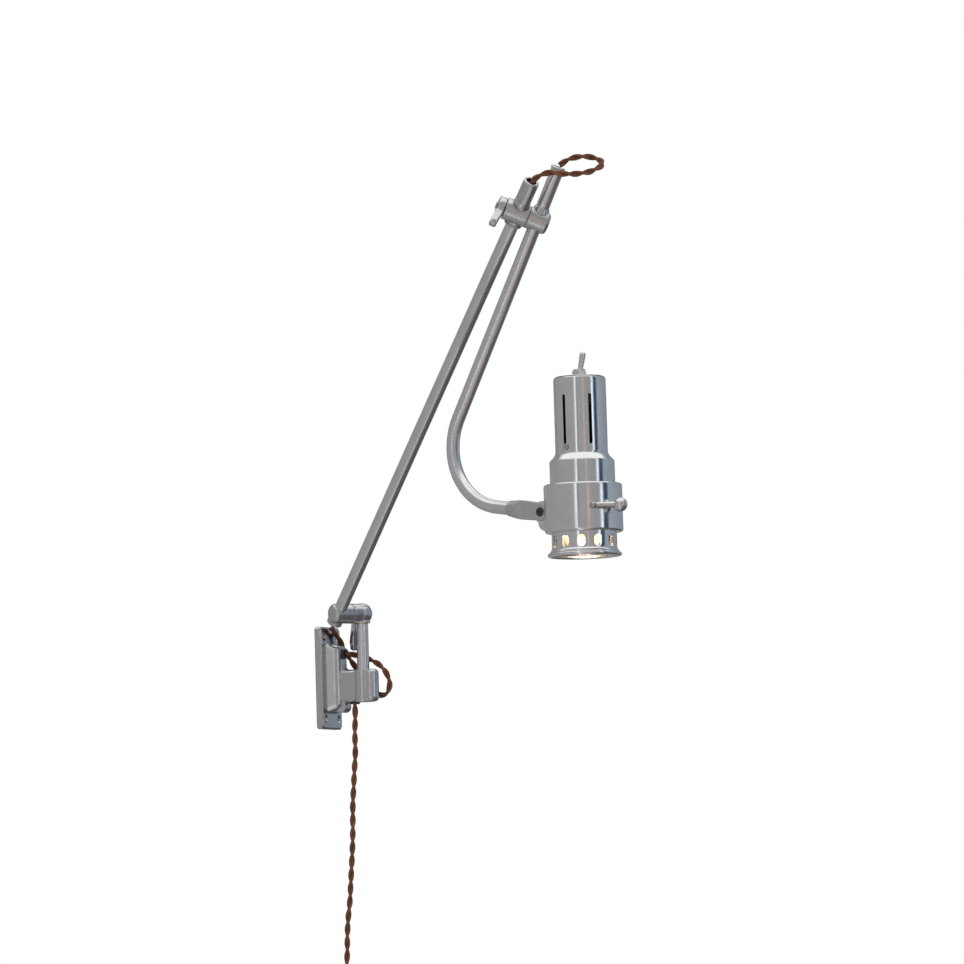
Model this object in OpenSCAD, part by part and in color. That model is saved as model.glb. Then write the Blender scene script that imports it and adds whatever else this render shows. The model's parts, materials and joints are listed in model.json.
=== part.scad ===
// Swing-arm wall lamp in polished metal: a cast wall bracket with a fixed post, a knuckle that
// swings and tilts, a straight lower tube, a sliding and turning elbow clamp, a hooked upper tube,
// and a cylindrical lamp head that tilts and turns in a clamp collar. Fed by a twisted flex.
// +Y runs into the wall, +Z is up, and the origin is the middle of the wall face.

/* [Wall bracket] */
// Width of the wall plate
plate_w = 48; // [40:1:64]
// Height of the wall plate
plate_h = 109; // [95:1:140]
// Thickness of the wall plate
plate_t = 7.4; // [5:0.2:9]
// Bevel round the front edge of the plate
plate_bevel = 1.6; // [0.5:0.1:2.5]
// Width of the hollow body on the plate
body_w = 26; // [22:1:32]
// Height of the hollow body
body_h = 72; // [66:1:84]
// How far the hollow body stands off the wall
body_d = 22; // [19:1:28]
// Wall thickness of the hollow body
body_wall = 3; // [2:0.5:4]
// Distance from the wall to the post
post_reach = 45; // [42:1:60]
// Top of the bracket arm above the middle of the plate
arm_top = 8; // [6:1:12]
// Underside of the bracket arm below the middle of the plate
arm_bottom = 27; // [24:1:30]
// Thickness of the bracket arm
arm_w = 17; // [16:1:22]
// Spacing of the wall screws across the plate
screw_dx = 31.5; // [28:0.5:36]
// Spacing of the wall screws up the plate
screw_dz = 87; // [84:1:92]
// Diameter of the wall screw holes
screw_hole_d = 4.6; // [4:0.1:5.2]
// Diameter of the wall screw countersinks
screw_sink_d = 8.8; // [8:0.1:10]

/* [Post and knuckle] */
// Diameter of the fixed post
post_d = 13; // [12:0.5:15]
// Height of the knuckle above the middle of the plate
knuckle_z = 67; // [60:1:90]
// Diameter of the turned spigot on the post
spigot_d = 10; // [8:0.5:11]
// Diameter of the knuckle barrel
barrel_d = 21.4; // [20:0.2:25]
// Diameter of the ball end of the knuckle
ball_end_d = 22.6; // [22:0.2:26]
// Distance along the barrel from the post to the lower tube
knuckle_span = 28.7; // [26:0.1:36]

/* [Tubes] */
// Outside diameter of both tubes
tube_d = 13.5; // [12:0.5:14]
// Wall thickness of both tubes
tube_wall = 1.2; // [0.8:0.1:1.6]
// Length of the lower tube from knuckle to elbow
lower_len = 536; // [420:1:680]
// How far the lower tube stands out beyond the elbow
lower_over = 40; // [36:1:80]
// How far the upper tube stands out beyond the elbow
upper_over = 58; // [40:1:90]
// Straight length of the upper tube below the elbow
hook_len = 215; // [160:1:300]
// Radius of the hook's bend
hook_r = 65.4; // [45:0.2:90]
// Angle turned by the hook
hook_angle = 108; // [95:1:120]
// Straight length from the hook's bend to the head hinge
hook_run = 58.4; // [52:0.2:90]

/* [Elbow clamp] */
// Diameter of the elbow barrel
elbow_d = 22.6; // [22:0.2:26]
// Gap between the two tubes in the elbow
elbow_web = 7.7; // [7.1:0.1:12.5]
// Wall thickness of the split sleeve round the lower tube
sleeve_wall = 1.3; // [1:0.1:1.8]

/* [Lamp head] */
// Outside diameter of the lamp housing where the collar grips it
head_d = 64.6; // [58:0.2:80]
// Diameter of the vented cap
cap_d = 52; // [48:1:56]
// Top of the cap above the middle of the collar
cap_top = 131; // [120:1:160]
// Bottom of the cap, above the cove
cap_low = 57; // [54:1:60]
// Sheet thickness of the head
shell_t = 1.2; // [0.8:0.1:1.6]
// Outside diameter of the clamp collar
collar_d = 77.8; // [74:0.2:96]
// Height of the clamp collar
collar_h = 48; // [40:1:52]
// Number of vent slots in the cap
slots = 6; // [3:1:8]
// Length of a vent slot
slot_len = 50; // [30:1:54]
// Width of a vent slot
slot_w = 3.3; // [2:0.1:4]
// Number of light holes round the mouth
holes = 12; // [6:1:14]
// Width of a light hole
hole_w = 7.8; // [6:0.2:9]
// Height of a light hole
hole_h = 11.6; // [9.4:0.2:13]
// Diameter of the rolled rim
rim_d = 73.5; // [70:0.5:76]
// Bottom of the rolled rim below the middle of the collar
rim_low = 47.8; // [47:0.2:58]
// Distance from the head hinge to the axis of the head
hinge_reach = 48.2; // [48.2:0.2:62]

/* [Controls] */
// Length of the two locking levers
lever_len = 34; // [26:1:40]
// Diameter of the ball on the collar lever
ball_d = 14.2; // [10:0.2:15]
// Length of the collar lever from its screw to the ball
rod_len = 27; // [22:1:34]
// Length of the switch lever
bat_len = 17; // [12:0.5:20]

/* [Flex] */
// Diameter across the twisted flex
flex_d = 6.4; // [5:0.2:7]
// Height of the folded hank of spare flex
hank_len = 151; // [140:1:160]
// Width of the hank
hank_w = 45.2; // [44:0.2:50]
// Thickness of the hank, through its layers
hank_t = 36; // [33:0.2:42]

/* [Resting pose] */
// Turn of the elbow's locking lever from the way the lower tube runs
elbow_lever_rest = 96; // [0:1:180]
// Swing of the arm away from straight out
pose_swing = 34.5; // [0:0.5:60]
// Lean of the lower tube away from upright
pose_tilt = 45.5; // [20:0.5:60]
// Turn of the elbow round the lower tube
pose_twist = 148.7; // [120:0.1:180]
// Bend of the elbow
pose_bend = 24; // [10:1:40]
// Turn of the upper tube in the elbow
pose_stem = 42; // [20:1:60]

/* [Hidden] */
$fn = 48;

chrome = [0.72, 0.73, 0.75];
cast = [0.66, 0.67, 0.69];
steel = [0.5, 0.51, 0.53];
brass = [0.8, 0.65, 0.3];
rubber = [0.08, 0.08, 0.08];
brown = [0.36, 0.19, 0.08];

// Clearances: a running fit on a radius and a seat between faces.
fit = 0.05;
seat = 0.02;
washer_t = 0.8;
hinge_washer_t = 0.6;
tongue_t = 6.6;
cheek_t = 3.2;
cheek_r = 8.6;
cheek_h = 19.2;
tongue_r = 11;
m3_r = 1.5;
m4_r = 2;

tube_r = tube_d / 2;
flex_r = flex_d / 2;
tube_in_r = tube_r - tube_wall;
post_r = post_d / 2;
spigot_r = spigot_d / 2;
barrel_r = barrel_d / 2;
elbow_r = elbow_d / 2;
shoulder_z = knuckle_z - 11;
knuckle_split = knuckle_span / 2;
elbow_span = tube_d + elbow_web;
elbow_split = elbow_span / 2;
knuckle_end = 9.3;
elbow_end = 13.7;
spigot_len = 3;
spigot_socket_r = 8.4;
socket_slack = 0.3;
groove_w = 1.5;
groove_d = 1;
stub_len = 2;
stub_r = tube_r + 1.5;
sleeve_r = tube_r + fit + sleeve_wall;
sleeve_low = elbow_r + 2;
sleeve_up = lower_over - 1;
head_r = head_d / 2;
cap_r = cap_d / 2;
cap_in_r = cap_r - shell_t;
collar_r = collar_d / 2;
half_collar = collar_h / 2;
lock_z = 4.2;
slot_turn = 27;
lever_turn = -41;
switch_turn = 35;
bat_tilt = 11;
bulb_r = 22.5;
bulb_z = -17;
bulb_cap_r = 13;
bulb_cap_low = 12;
bulb_cap_high = 36;
shell_r = 14.4;
holder_r = 19.5;
holder_low = 15;
holder_high = 56;
lever_crank = 4;
neck_long = 42;
neck_root = 23.5;
neck_tip_r = 7.8;
bush_r = 5.9;
hook_end = hook_run - neck_root - 1;
collar_profile_r = 2.4;
mouth_low = 2 - half_collar;
spigot_top = -8;
cove_r = 9;
step_z = cap_low - cove_r;
slot_high = cap_top - 19;
slot_low = slot_high - slot_len;
bracket_z = cap_low + 0.5;
hole_z = -33.5;
switch_top = cap_top - 1.6;
arm_round = 5;
hank_x = 15;
hank_y = -24;
hank_top = -334;
plug_y = -38.5;
plug_top = hank_top - hank_len - 2 * seat;
plug_len = 36;
pin_len = 19;

// Small helpers

// Points of an arc of radius r about (x, y), from angle a to angle b in n steps.
function arc(x, y, r, a, b, n = 5) = [for (i = [0 : n]) let (t = a + (b - a) * i / n)
  [x + r * cos(t), y + r * sin(t)]];

// A rounded rectangle centred on the origin.
module rounded_rect(w, h, r) {
  square([w - 2 * r, h], center = true);
  square([w, h - 2 * r], center = true);
  for (x = [-1, 1], y = [-1, 1]) {
    translate([x * (w / 2 - r), y * (h / 2 - r)]) circle(r);
  }
}

// Turns a shape drawn upwards so that it stands off the wall along -Y, keeping its height on Z.
module off_wall() {
  rotate([90, 0, 0]) children();
}

// A cylinder along X from x0 to x1.
module rod_x(r, x0, x1) {
  translate([x0, 0, 0]) rotate([0, 90, 0]) cylinder(r = r, h = x1 - x0);
}

// A cylinder along Y from y0 to y1.
module rod_y(r, y0, y1) {
  translate([0, y0, 0]) rotate([-90, 0, 0]) cylinder(r = r, h = y1 - y0);
}

// A ring between two radii.
module ring(r_in, r_out, h) {
  difference() {
    cylinder(r = r_out, h = h);
    translate([0, 0, -1]) cylinder(r = r_in, h = h + 2);
  }
}

// A barrel along X whose far end at x1 is rounded with radius r_end.
module round_end_barrel(r, x0, x1, r_end) {
  translate([x0, 0, 0]) rotate([0, 90, 0]) rotate_extrude() {
    polygon(concat([[0, 0], [r, 0]], arc(r - r_end, x1 - x0 - r_end, r_end, 0, 90, 6),
      [[0, x1 - x0]]));
  }
}

// A cheese-head screw along -Z: its head stands on z = 0 and has a slot.
module slotted_screw(r, len, head_r, head_h) {
  difference() {
    union() {
      translate([0, 0, -len]) cylinder(r = r, h = len);
      cylinder(r = head_r, h = head_h);
    }
    translate([-head_r - 1, -head_r * 0.14, head_h * 0.5]) {
      cube([2 * head_r + 2, head_r * 0.28, head_h]);
    }
  }
}

// The grooved spigot of a clamp, along X from its face at x = 0, across the washer and into the socket.
module pivot_spigot() {
  near = washer_t + (spigot_len - groove_w) / 2;
  rod_x(spigot_socket_r, -1, near);
  rod_x(spigot_socket_r - groove_d, near - 0.1, near + groove_w + 0.1);
  rod_x(spigot_socket_r, near + groove_w, washer_t + spigot_len);
}

// The three radial holes for retaining screws, or the screws themselves with a smaller radius.
module radial_pins(r, r_in, r_out) {
  for (a = [60, 180, 300]) {
    rotate([a, 0, 0]) translate([spigot_len / 2, 0, r_in]) cylinder(r = r, h = r_out - r_in);
  }
}

// Three grub screws in a barrel of radius r, with dog points that run in the spigot's groove.
module retaining_screws(r) {
  radial_pins(m3_r, spigot_socket_r + 0.3, r - 0.3);
  radial_pins(groove_w / 2 - fit, spigot_socket_r - groove_d + 0.15, spigot_socket_r + 0.4);
}

// A locking lever along -Y: a round hub and a cranked blade that widens to a rounded tip.
module lever_blade(hub_r, hub_t) {
  difference() {
    union() {
      cylinder(r = hub_r, h = hub_t);
      hull() {
        translate([0, -lever_len * 0.2, 1]) cylinder(r = 3.2, h = hub_t - 2, $fn = 32);
        translate([0, 4.5 - lever_len, 1 + lever_crank]) cylinder(r = 4.5, h = hub_t - 2, $fn = 32);
      }
    }
    translate([0, 0, -1]) cylinder(r = m4_r + fit, h = hub_t + 2);
  }
}

// Places

module at_knuckle() {
  translate([0, -post_reach, knuckle_z]) rotate([0, 0, 180 - pose_swing]) children();
}

module at_lower_tube() {
  at_knuckle() translate([knuckle_span, 0, 0]) rotate([-pose_tilt, 0, 0]) children();
}

module at_elbow() {
  at_lower_tube() translate([0, 0, lower_len]) rotate([0, 0, pose_twist]) children();
}

module at_upper_clamp() {
  at_elbow() translate([elbow_span, 0, 0]) rotate([-pose_bend, 0, 0]) children();
}

module at_upper_tube() {
  at_upper_clamp() rotate([0, 0, -pose_stem]) children();
}

// Points carried along the arm, to find the hinge and to hang the head upright.
function turn_z(v, a) = [v[0] * cos(a) - v[1] * sin(a), v[0] * sin(a) + v[1] * cos(a), v[2]];
function turn_x(v, a) = [v[0], v[1] * cos(a) - v[2] * sin(a), v[1] * sin(a) + v[2] * cos(a)];
function from_knuckle(v) = turn_z(v, 180 - pose_swing) + [0, -post_reach, knuckle_z];
function from_lower_tube(v) = from_knuckle(turn_x(v, -pose_tilt) + [knuckle_span, 0, 0]);
function from_elbow(v) = from_lower_tube(turn_z(v, pose_twist) + [0, 0, lower_len]);
function from_clamp(v) = from_elbow(turn_x(v, -pose_bend) + [elbow_span, 0, 0]);
function from_upper_tube(v) = from_clamp(turn_z(v, -pose_stem));

hinge_x = hook_r - hook_r * cos(hook_angle) + hook_run * sin(hook_angle);
hinge_z = -hook_len - hook_r * sin(hook_angle) - hook_run * cos(hook_angle);
hinge_at = from_upper_tube([hinge_x, 0, hinge_z]);
run_dir = from_upper_tube([hinge_x, 0, hinge_z]) - from_upper_tube([hinge_x - sin(hook_angle), 0,
  hinge_z + cos(hook_angle)]);
neck_heading = atan2(run_dir[1], run_dir[0]);
neck_rise = asin(run_dir[2]);

// The hinge, with +X along the neck towards the head and +Y along the level hinge screw.
module at_neck() {
  translate(hinge_at) rotate([0, 0, neck_heading]) rotate([0, -neck_rise, 0]) children();
}

// The middle of the collar, upright, with +X pointing away from the hinge.
module at_head() {
  translate(hinge_at) rotate([0, 0, neck_heading]) translate([hinge_reach, 0, 0]) children();
}

// Wall bracket

module wall_screw_holes() {
  for (x = [-1, 1], z = [-1, 1]) {
    translate([x * screw_dx / 2, 0, z * screw_dz / 2]) {
      rod_y(screw_hole_d / 2, -plate_t - 1, 1);
      translate([0, -plate_t - 0.01, 0]) rotate([-90, 0, 0]) {
        cylinder(r1 = screw_sink_d / 2, r2 = screw_hole_d / 2, h = (screw_sink_d - screw_hole_d) / 2);
      }
    }
  }
}

cavity_w = body_w - 2 * body_wall;
cavity_h = body_h - 2 * body_wall - 6;
cavity_d = body_d - body_wall;
cover_w = cavity_w + 7;
cover_h = cavity_h + 12;
cover_t = 1.6;
cover_back = 0.4;
cover_screw_z = cavity_h / 2 + 3;
upper_exit_z = 25;
lower_exit_y = 34;
gland_r = flex_r + 0.9;
gland_lip = 5.4;
lip_t = 1.8;

module bracket_casting() {
  color(cast) difference() {
    union() {
      hull() {
        off_wall() linear_extrude(plate_t - plate_bevel) rounded_rect(plate_w, plate_h, 4, $fn = 32);
        off_wall() linear_extrude(plate_t) {
          rounded_rect(plate_w - 2 * plate_bevel, plate_h - 2 * plate_bevel, 3, $fn = 32);
        }
      }
      hull() {
        off_wall() linear_extrude(plate_t + 1) rounded_rect(body_w + 3, body_h + 3, 6, $fn = 32);
        for (x = [-1, 1], z = [-1, 1]) {
          translate([x * (body_w / 2 - 7), 7 - body_d, z * (body_h / 2 - 8)]) sphere(7, $fn = 32);
        }
      }
      bracket_arm();
      translate([0, -body_d + 2, -arm_bottom - 4]) rod_x(6.5, -7, 7);
    }
    wall_screw_holes();
    translate([-cavity_w / 2, -cavity_d, -cavity_h / 2]) cube([cavity_w, cavity_d + 1, cavity_h]);
    off_wall() translate([0, 0, -1]) linear_extrude(1 + cover_back + cover_t) {
      rounded_rect(cover_w + 2 * fit, cover_h + 2 * fit, 3);
    }
    for (z = [-1, 1]) {
      translate([0, 0, z * cover_screw_z]) rod_y(m3_r + fit, -9, 0);
    }
    translate([0, 0, upper_exit_z]) rod_y(gland_r, -body_d - 1, -cavity_d + 1);
    translate([0, -lower_exit_y, -arm_bottom - 1]) cylinder(r = gland_r, h = 10);
    translate([0, 0, -arm_bottom + 8]) rod_y(gland_r, -lower_exit_y - 1, -cavity_d + 1);
    translate([0, -post_reach, -arm_bottom + 4]) cylinder(r = post_r + fit, h = arm_bottom + arm_top);
    translate([0, -post_reach, -arm_bottom - 1]) cylinder(r = 3 + fit, h = 7);
    translate([0, -post_reach, -arm_bottom - 1]) cylinder(r = 5, h = 3.2);
  }
}

// The arm's outline from above, drawn in by an inset: a round nose and straight sides.
module arm_outline(inset) {
  half = arm_w / 2 - inset;
  translate([0, -arm_w / 2]) circle(half, $fn = 32);
  translate([-half, -arm_w / 2]) square([2 * half, arm_w / 2 + post_reach - body_d + 4]);
}

// The arm that carries the post: a web with rounded edges, a round boss and hollow corners.
module bracket_arm() {
  height = arm_top + arm_bottom;
  translate([0, -post_reach, -arm_bottom]) {
    hull() for (a = [0 : 22.5 : 90]) {
      rise = arm_round * (1 - sin(a));
      translate([0, 0, rise]) linear_extrude(height - 2 * rise) arm_outline(arm_round * (1 - cos(a)));
    }
    cylinder(r = post_r + 4, h = height - 0.6);
  }
  for (side = [0, 1]) {
    translate([0, -body_d + 1, side == 0 ? arm_top - 1 : 1 - arm_bottom]) {
      mirror([0, 0, side]) hollow_corner(9, arm_w - 4);
    }
  }
}

// A concave fillet of radius r between the body's front and the arm, w wide.
module hollow_corner(r, w) {
  difference() {
    translate([-w / 2, -r, 0]) cube([w, r, r]);
    translate([0, -r, r]) rod_x(r, -w, w);
  }
}

module back_cover() {
  color([0.45, 0.3, 0.2]) difference() {
    translate([0, -cover_back, 0]) off_wall() linear_extrude(cover_t - seat) {
      rounded_rect(cover_w, cover_h, 3);
    }
    for (z = [-1, 1]) {
      translate([0, 0, z * cover_screw_z]) rod_y(m3_r + fit, -9, 1);
    }
    translate([0, 0, upper_exit_z - 12]) rod_y(1.6, -9, 1);
  }
}

module back_cover_screws() {
  color(steel) for (z = [-1, 1]) {
    translate([0, -cover_back - 0.1, z * cover_screw_z]) {
      rod_y(m3_r, -8, 0);
    }
  }
}

block_w = 16;
block_h = 20;
block_d = 8;
block_y = -cavity_d + 0.6;

module terminal_block() {
  color([0.86, 0.83, 0.74]) difference() {
    translate([-block_w / 2, block_y, -10]) cube([block_w, block_d, block_h]);
    for (x = [-1, 1]) {
      translate([x * 4, 0, 0]) {
        rod_y(m3_r + fit, block_y + 3, 0);
        translate([0, block_y + 3.5, -11]) cylinder(r = 1.5, h = block_h + 2);
      }
    }
  }
}

module terminal_screws() {
  color(brass) for (x = [-1, 1]) {
    translate([x * 4, 0, 0]) rod_y(m3_r, block_y + 5.2, block_y + block_d + 1);
  }
}

// A rubber bush along -Y in its hole, with a lip outside, bored for the flex.
module grommet(wall) {
  difference() {
    union() {
      rod_y(gland_r - fit, -seat, wall);
      rod_y(gland_lip, -lip_t, -seat);
    }
    rod_y(flex_r + seat, -lip_t - 1, wall + 1);
  }
}

module upper_grommet() {
  color(rubber) translate([0, -body_d, upper_exit_z]) grommet(body_wall);
}

module lower_grommet() {
  color(rubber) translate([0, -lower_exit_y, -arm_bottom]) rotate([90, 0, 0]) grommet(3);
}

module post() {
  color(chrome) translate([0, -post_reach, 0]) difference() {
    union() {
      translate([0, 0, -arm_bottom + 4 + seat]) cylinder(r = post_r, h = shoulder_z + arm_bottom - 4 - seat);
      cylinder(r = spigot_r, h = knuckle_z + lock_z + 4);
    }
    translate([0, 0, knuckle_z - lock_z - m4_r - 0.2]) ring(spigot_r - groove_d, spigot_r + 1, 2 * m4_r + 0.4);
    translate([0, 0, -arm_bottom]) cylinder(r = 3 + fit, h = 22);
  }
}

module post_screw() {
  color(steel) translate([0, -post_reach, -arm_bottom + 2.18]) rotate([180, 0, 0]) {
    slotted_screw(3, 14, 4.8, 1.6);
  }
}

// Knuckle

module thrust_washer() {
  color(brass) translate([0, -post_reach, shoulder_z + seat]) ring(spigot_r + fit, post_r, washer_t - 2 * seat);
}

// The half of the knuckle that turns on the post.
module swivel_block() {
  low = shoulder_z + washer_t - knuckle_z;
  ball_r = ball_end_d / 2;
  face = knuckle_split - washer_t / 2;
  color(cast) at_knuckle() difference() {
    union() {
      sphere(ball_r, $fn = 64);
      translate([0, 0, low]) cylinder(r = post_r + 2.2, h = -low + 8);
      rod_x(barrel_r, 0, face);
    }
    translate([0, 0, low - 20]) cylinder(r = ball_r + 5, h = 20);
    translate([0, 0, low - 1]) cylinder(r = spigot_r + fit, h = 1 - low + lock_z + 4.3);
    translate([0, 0, -lock_z]) rod_y(m4_r + fit, -ball_r - 1, -spigot_r + 1);
    translate([0, -ball_r + 1.4, -lock_z]) rod_y(5.6, -6, 0);
    rod_x(spigot_socket_r + fit, face - spigot_len - socket_slack, face + 1);
    translate([face - spigot_len, 0, 0]) radial_pins(m3_r + fit, spigot_socket_r - 1, barrel_r + 2);
  }
}

module swing_lock_screw() {
  ball_r = ball_end_d / 2;
  color(steel) at_knuckle() translate([0, 0, -lock_z]) {
    rod_y(m4_r, -ball_r - 7, 0.85 - spigot_r);
    rod_y(3.6, -ball_r - 8.4, -ball_r - 6.6);
  }
}

module swing_lock_lever() {
  ball_r = ball_end_d / 2;
  color(cast) at_knuckle() translate([0, -ball_r + 1.1, -lock_z]) rotate([90, 0, 0]) lever_blade(5.2, 7.6);
}

module knuckle_friction_washer() {
  color([0.3, 0.2, 0.12]) at_knuckle() {
    difference() {
      rod_x(barrel_r - 0.5, knuckle_split - washer_t / 2 + seat, knuckle_split + washer_t / 2 - seat);
      rod_x(spigot_socket_r + fit, 0, knuckle_span);
    }
  }
}

module knuckle_retaining_screws() {
  color(steel) at_knuckle() translate([knuckle_split - washer_t / 2 - spigot_len, 0, 0]) {
    retaining_screws(barrel_r);
  }
}

// The half of the knuckle that holds the lower tube and tilts.
module tilt_block() {
  face = knuckle_split + washer_t / 2;
  color(cast) at_lower_tube() difference() {
    union() {
      round_end_barrel(barrel_r, face - knuckle_span, knuckle_end, 6);
      translate([0, 0, -barrel_r - stub_len]) cylinder(r = stub_r, h = barrel_r + stub_len);
      translate([face - knuckle_span, 0, 0]) mirror([1, 0, 0]) pivot_spigot();
    }
    translate([0, 0, -barrel_r - stub_len + 1.5]) cylinder(r = tube_r + fit, h = 2 * barrel_r + stub_len + 4);
    translate([0, 0, -barrel_r - stub_len - 1]) cylinder(r = tube_in_r, h = 4);
  }
}

// Tubes

module lower_tube() {
  low = -barrel_r - stub_len + 1.5 + seat;
  color(chrome) at_lower_tube() translate([0, 0, low]) ring(tube_in_r, tube_r, lower_len + lower_over - low);
}

module lower_tube_flex() {
  low = -barrel_r - stub_len + 1;
  color(brown) at_lower_tube() translate([0, 0, low]) cylinder(r = flex_r, h = lower_len + lower_over - 3 - low);
}

// Extrudes the section given as a child along the hooked tube's centre line.
module hook_sweep(top, run) {
  translate([0, 0, -hook_len]) linear_extrude(hook_len + top) children();
  translate([hook_r, 0, -hook_len]) rotate([90, 0, 0]) rotate_extrude(angle = hook_angle) {
    translate([-hook_r, 0]) children();
  }
  translate([hook_r - hook_r * cos(hook_angle), 0, -hook_len - hook_r * sin(hook_angle)]) {
    rotate([0, 180 - hook_angle, 0]) linear_extrude(run) children();
  }
}

module upper_tube() {
  color(chrome) at_upper_tube() hook_sweep(upper_over, hook_end) difference() {
    circle(tube_r);
    circle(tube_in_r);
  }
}

module upper_tube_flex() {
  color(brown) at_upper_tube() hook_sweep(upper_over - 2, hook_end - 1) circle(flex_r);
}

// Elbow clamp

// A thin sleeve, slit along one side, that the clamp tightens on the lower tube.
module elbow_split_sleeve() {
  color(cast) at_elbow() difference() {
    union() {
      translate([0, 0, -sleeve_low]) cylinder(r = sleeve_r, h = sleeve_low + sleeve_up);
      translate([0, 0, elbow_r + 0.1]) cylinder(r1 = sleeve_r + 1.1, r2 = sleeve_r, h = 4);
      translate([0, 0, -sleeve_low]) cylinder(r = sleeve_r + 1.1, h = 1.8);
    }
    translate([0, 0, -sleeve_low - 1]) cylinder(r = tube_r + fit, h = sleeve_low + sleeve_up + 2);
    rotate([0, 0, 115]) translate([0, -0.8, elbow_r - 2]) cube([sleeve_r + 3, 1.6, 22]);
  }
}

module elbow_lower_block() {
  face = elbow_split - washer_t / 2;
  color(cast) at_elbow() difference() {
    union() {
      rod_x(elbow_r, -elbow_end, face);
      translate([face, 0, 0]) pivot_spigot();
    }
    translate([0, 0, -elbow_r - 1]) cylinder(r = sleeve_r + fit, h = 2 * elbow_r + 2);
    rod_x(m4_r + 1 + fit, -elbow_end - 1, -sleeve_r + 1);
  }
}

module elbow_lock_screw() {
  color(steel) at_elbow() {
    rod_x(m4_r + 1, -elbow_end - 0.3, -sleeve_r - 0.1);
    rod_x(m4_r, -elbow_end - 9, -elbow_end);
    rod_x(3.8, -elbow_end - 9.6, -elbow_end - 8.4);
  }
}

module elbow_lock_lever() {
  color(cast) at_elbow() rotate([elbow_lever_rest, 0, 0]) translate([-elbow_end - 0.35, 0, 0]) {
    rotate([0, -90, 0]) rotate([0, 0, 90]) lever_blade(elbow_r - 1.2, 7.8);
  }
}

module elbow_friction_washer() {
  color([0.3, 0.2, 0.12]) at_elbow() difference() {
    rod_x(elbow_r - 0.5, elbow_split - washer_t / 2 + seat, elbow_split + washer_t / 2 - seat);
    rod_x(spigot_socket_r + fit, 0, elbow_span);
  }
}

module elbow_retaining_screws() {
  color(steel) at_upper_clamp() translate([washer_t / 2 - elbow_split, 0, 0]) {
    retaining_screws(elbow_r);
  }
}

module elbow_upper_block() {
  face = washer_t / 2 - elbow_split;
  color(cast) at_upper_clamp() difference() {
    union() {
      round_end_barrel(elbow_r, face, 11.7, 4);
      translate([0, 0, elbow_r - 3]) cylinder(r1 = tube_r + 2.6, r2 = tube_r + 0.9, h = 6);
    }
    translate([0, 0, -elbow_r - 1]) cylinder(r = tube_r + fit, h = 2 * elbow_r + 6);
    rod_x(spigot_socket_r + fit, face - 1, face + spigot_len + 0.2);
    translate([face, 0, 0]) radial_pins(m3_r + fit, spigot_socket_r - 1, elbow_r + 2);
  }
}

// Head hinge

module neck_fork() {
  half = tongue_t / 2 + hinge_washer_t;
  color(cast) at_neck() difference() {
    union() {
      hull() {
        rod_x(neck_tip_r, -neck_long, -neck_long + 1, $fn = 32);
        rod_x(9.4, -neck_root - 8, -neck_root - 7, $fn = 32);
        translate([-neck_root, -half - cheek_t, -cheek_h / 2]) cube([1, 2 * (half + cheek_t), cheek_h]);
      }
      for (side = [-1, 1]) {
        translate([0, side * (half + cheek_t / 2) + cheek_t / 2, 0]) rotate([90, 0, 0]) {
          linear_extrude(cheek_t) {
            circle(cheek_r);
            polygon([[-neck_root, -cheek_h / 2], [0, -cheek_r], [0, cheek_r], [-neck_root, cheek_h / 2]]);
          }
        }
      }
    }
    rod_x(tube_r + fit, -neck_long - 1, -neck_root - 1 + fit);
    rod_x(flex_r + 0.3, -neck_long, -neck_root + 2);
    rod_y(2.5 + fit, -half - cheek_t - 1, half + cheek_t + 1);
    rod_y(4.4 + fit, -half - cheek_t - 1, -half - 1.8);
  }
}

module hinge_screw() {
  half = tongue_t / 2 + hinge_washer_t;
  color([0.2, 0.2, 0.22]) at_neck() translate([0, -half - 1.8 - seat, 0]) rotate([90, 0, 0]) {
    slotted_screw(2.5, 2 * half + cheek_t + 1.8 + 3.2, 4.3, 1.9);
  }
}

module hinge_nut() {
  half = tongue_t / 2 + hinge_washer_t;
  color(steel) at_neck() translate([0, half + cheek_t + seat, 0]) rotate([-90, 0, 0]) difference() {
    cylinder(r = 4.6, h = 3.4, $fn = 6);
    translate([0, 0, -1]) cylinder(r = 2.5 + fit, h = 6);
  }
}

module hinge_washers() {
  color(brass) at_neck() for (side = [-1, 1]) {
    translate([0, side * (tongue_t + hinge_washer_t) / 2, 0]) rotate([90, 0, 0]) {
      translate([0, 0, seat - hinge_washer_t / 2]) ring(2.5 + fit, 9, hinge_washer_t - 2 * seat);
    }
  }
}

// Lamp head

module clamp_collar() {
  in_r = head_r + fit;
  q = collar_profile_r;
  color(chrome) at_head() difference() {
    union() {
      rotate_extrude($fn = 96) polygon(concat([[in_r, -half_collar]],
        arc(collar_r - q, q - half_collar, q, -90, 0), arc(collar_r - q, half_collar - q, q, 0, 90),
        [[in_r, half_collar]]));
      translate([-hinge_reach, 0, 0]) hinge_tongue();
    }
    translate([0, 0, -half_collar - 1]) cylinder(r = in_r, h = collar_h + 2, $fn = 96);
    translate([-hinge_reach, 0, 0]) rod_y(2.5 + fit, -tongue_t, tongue_t);
    rotate([0, 0, lever_turn]) rod_x(m4_r + fit, head_r - 3, collar_r + 3);
  }
}

// The flat tongue on the collar's back, deeper below the hinge than above it.
module hinge_tongue() {
  reach = hinge_reach - head_r - 3;
  rotate([90, 0, 0]) translate([0, 0, -tongue_t / 2]) linear_extrude(tongue_t) {
    circle(tongue_r);
    translate([3.5, -10.5]) circle(8.5);
    translate([0, -19]) polygon([[3.5, 0], [reach, 0], [reach, 29.8], [0, 30], [-5, 8.5]]);
  }
}

module collar_clamp_screw() {
  color(steel) at_head() rotate([0, 0, lever_turn]) {
    rod_x(m4_r, head_r + 0.1, collar_r + 2);
    translate([collar_r + 3.7, 0, 0]) sphere(3.3);
  }
}

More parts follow.
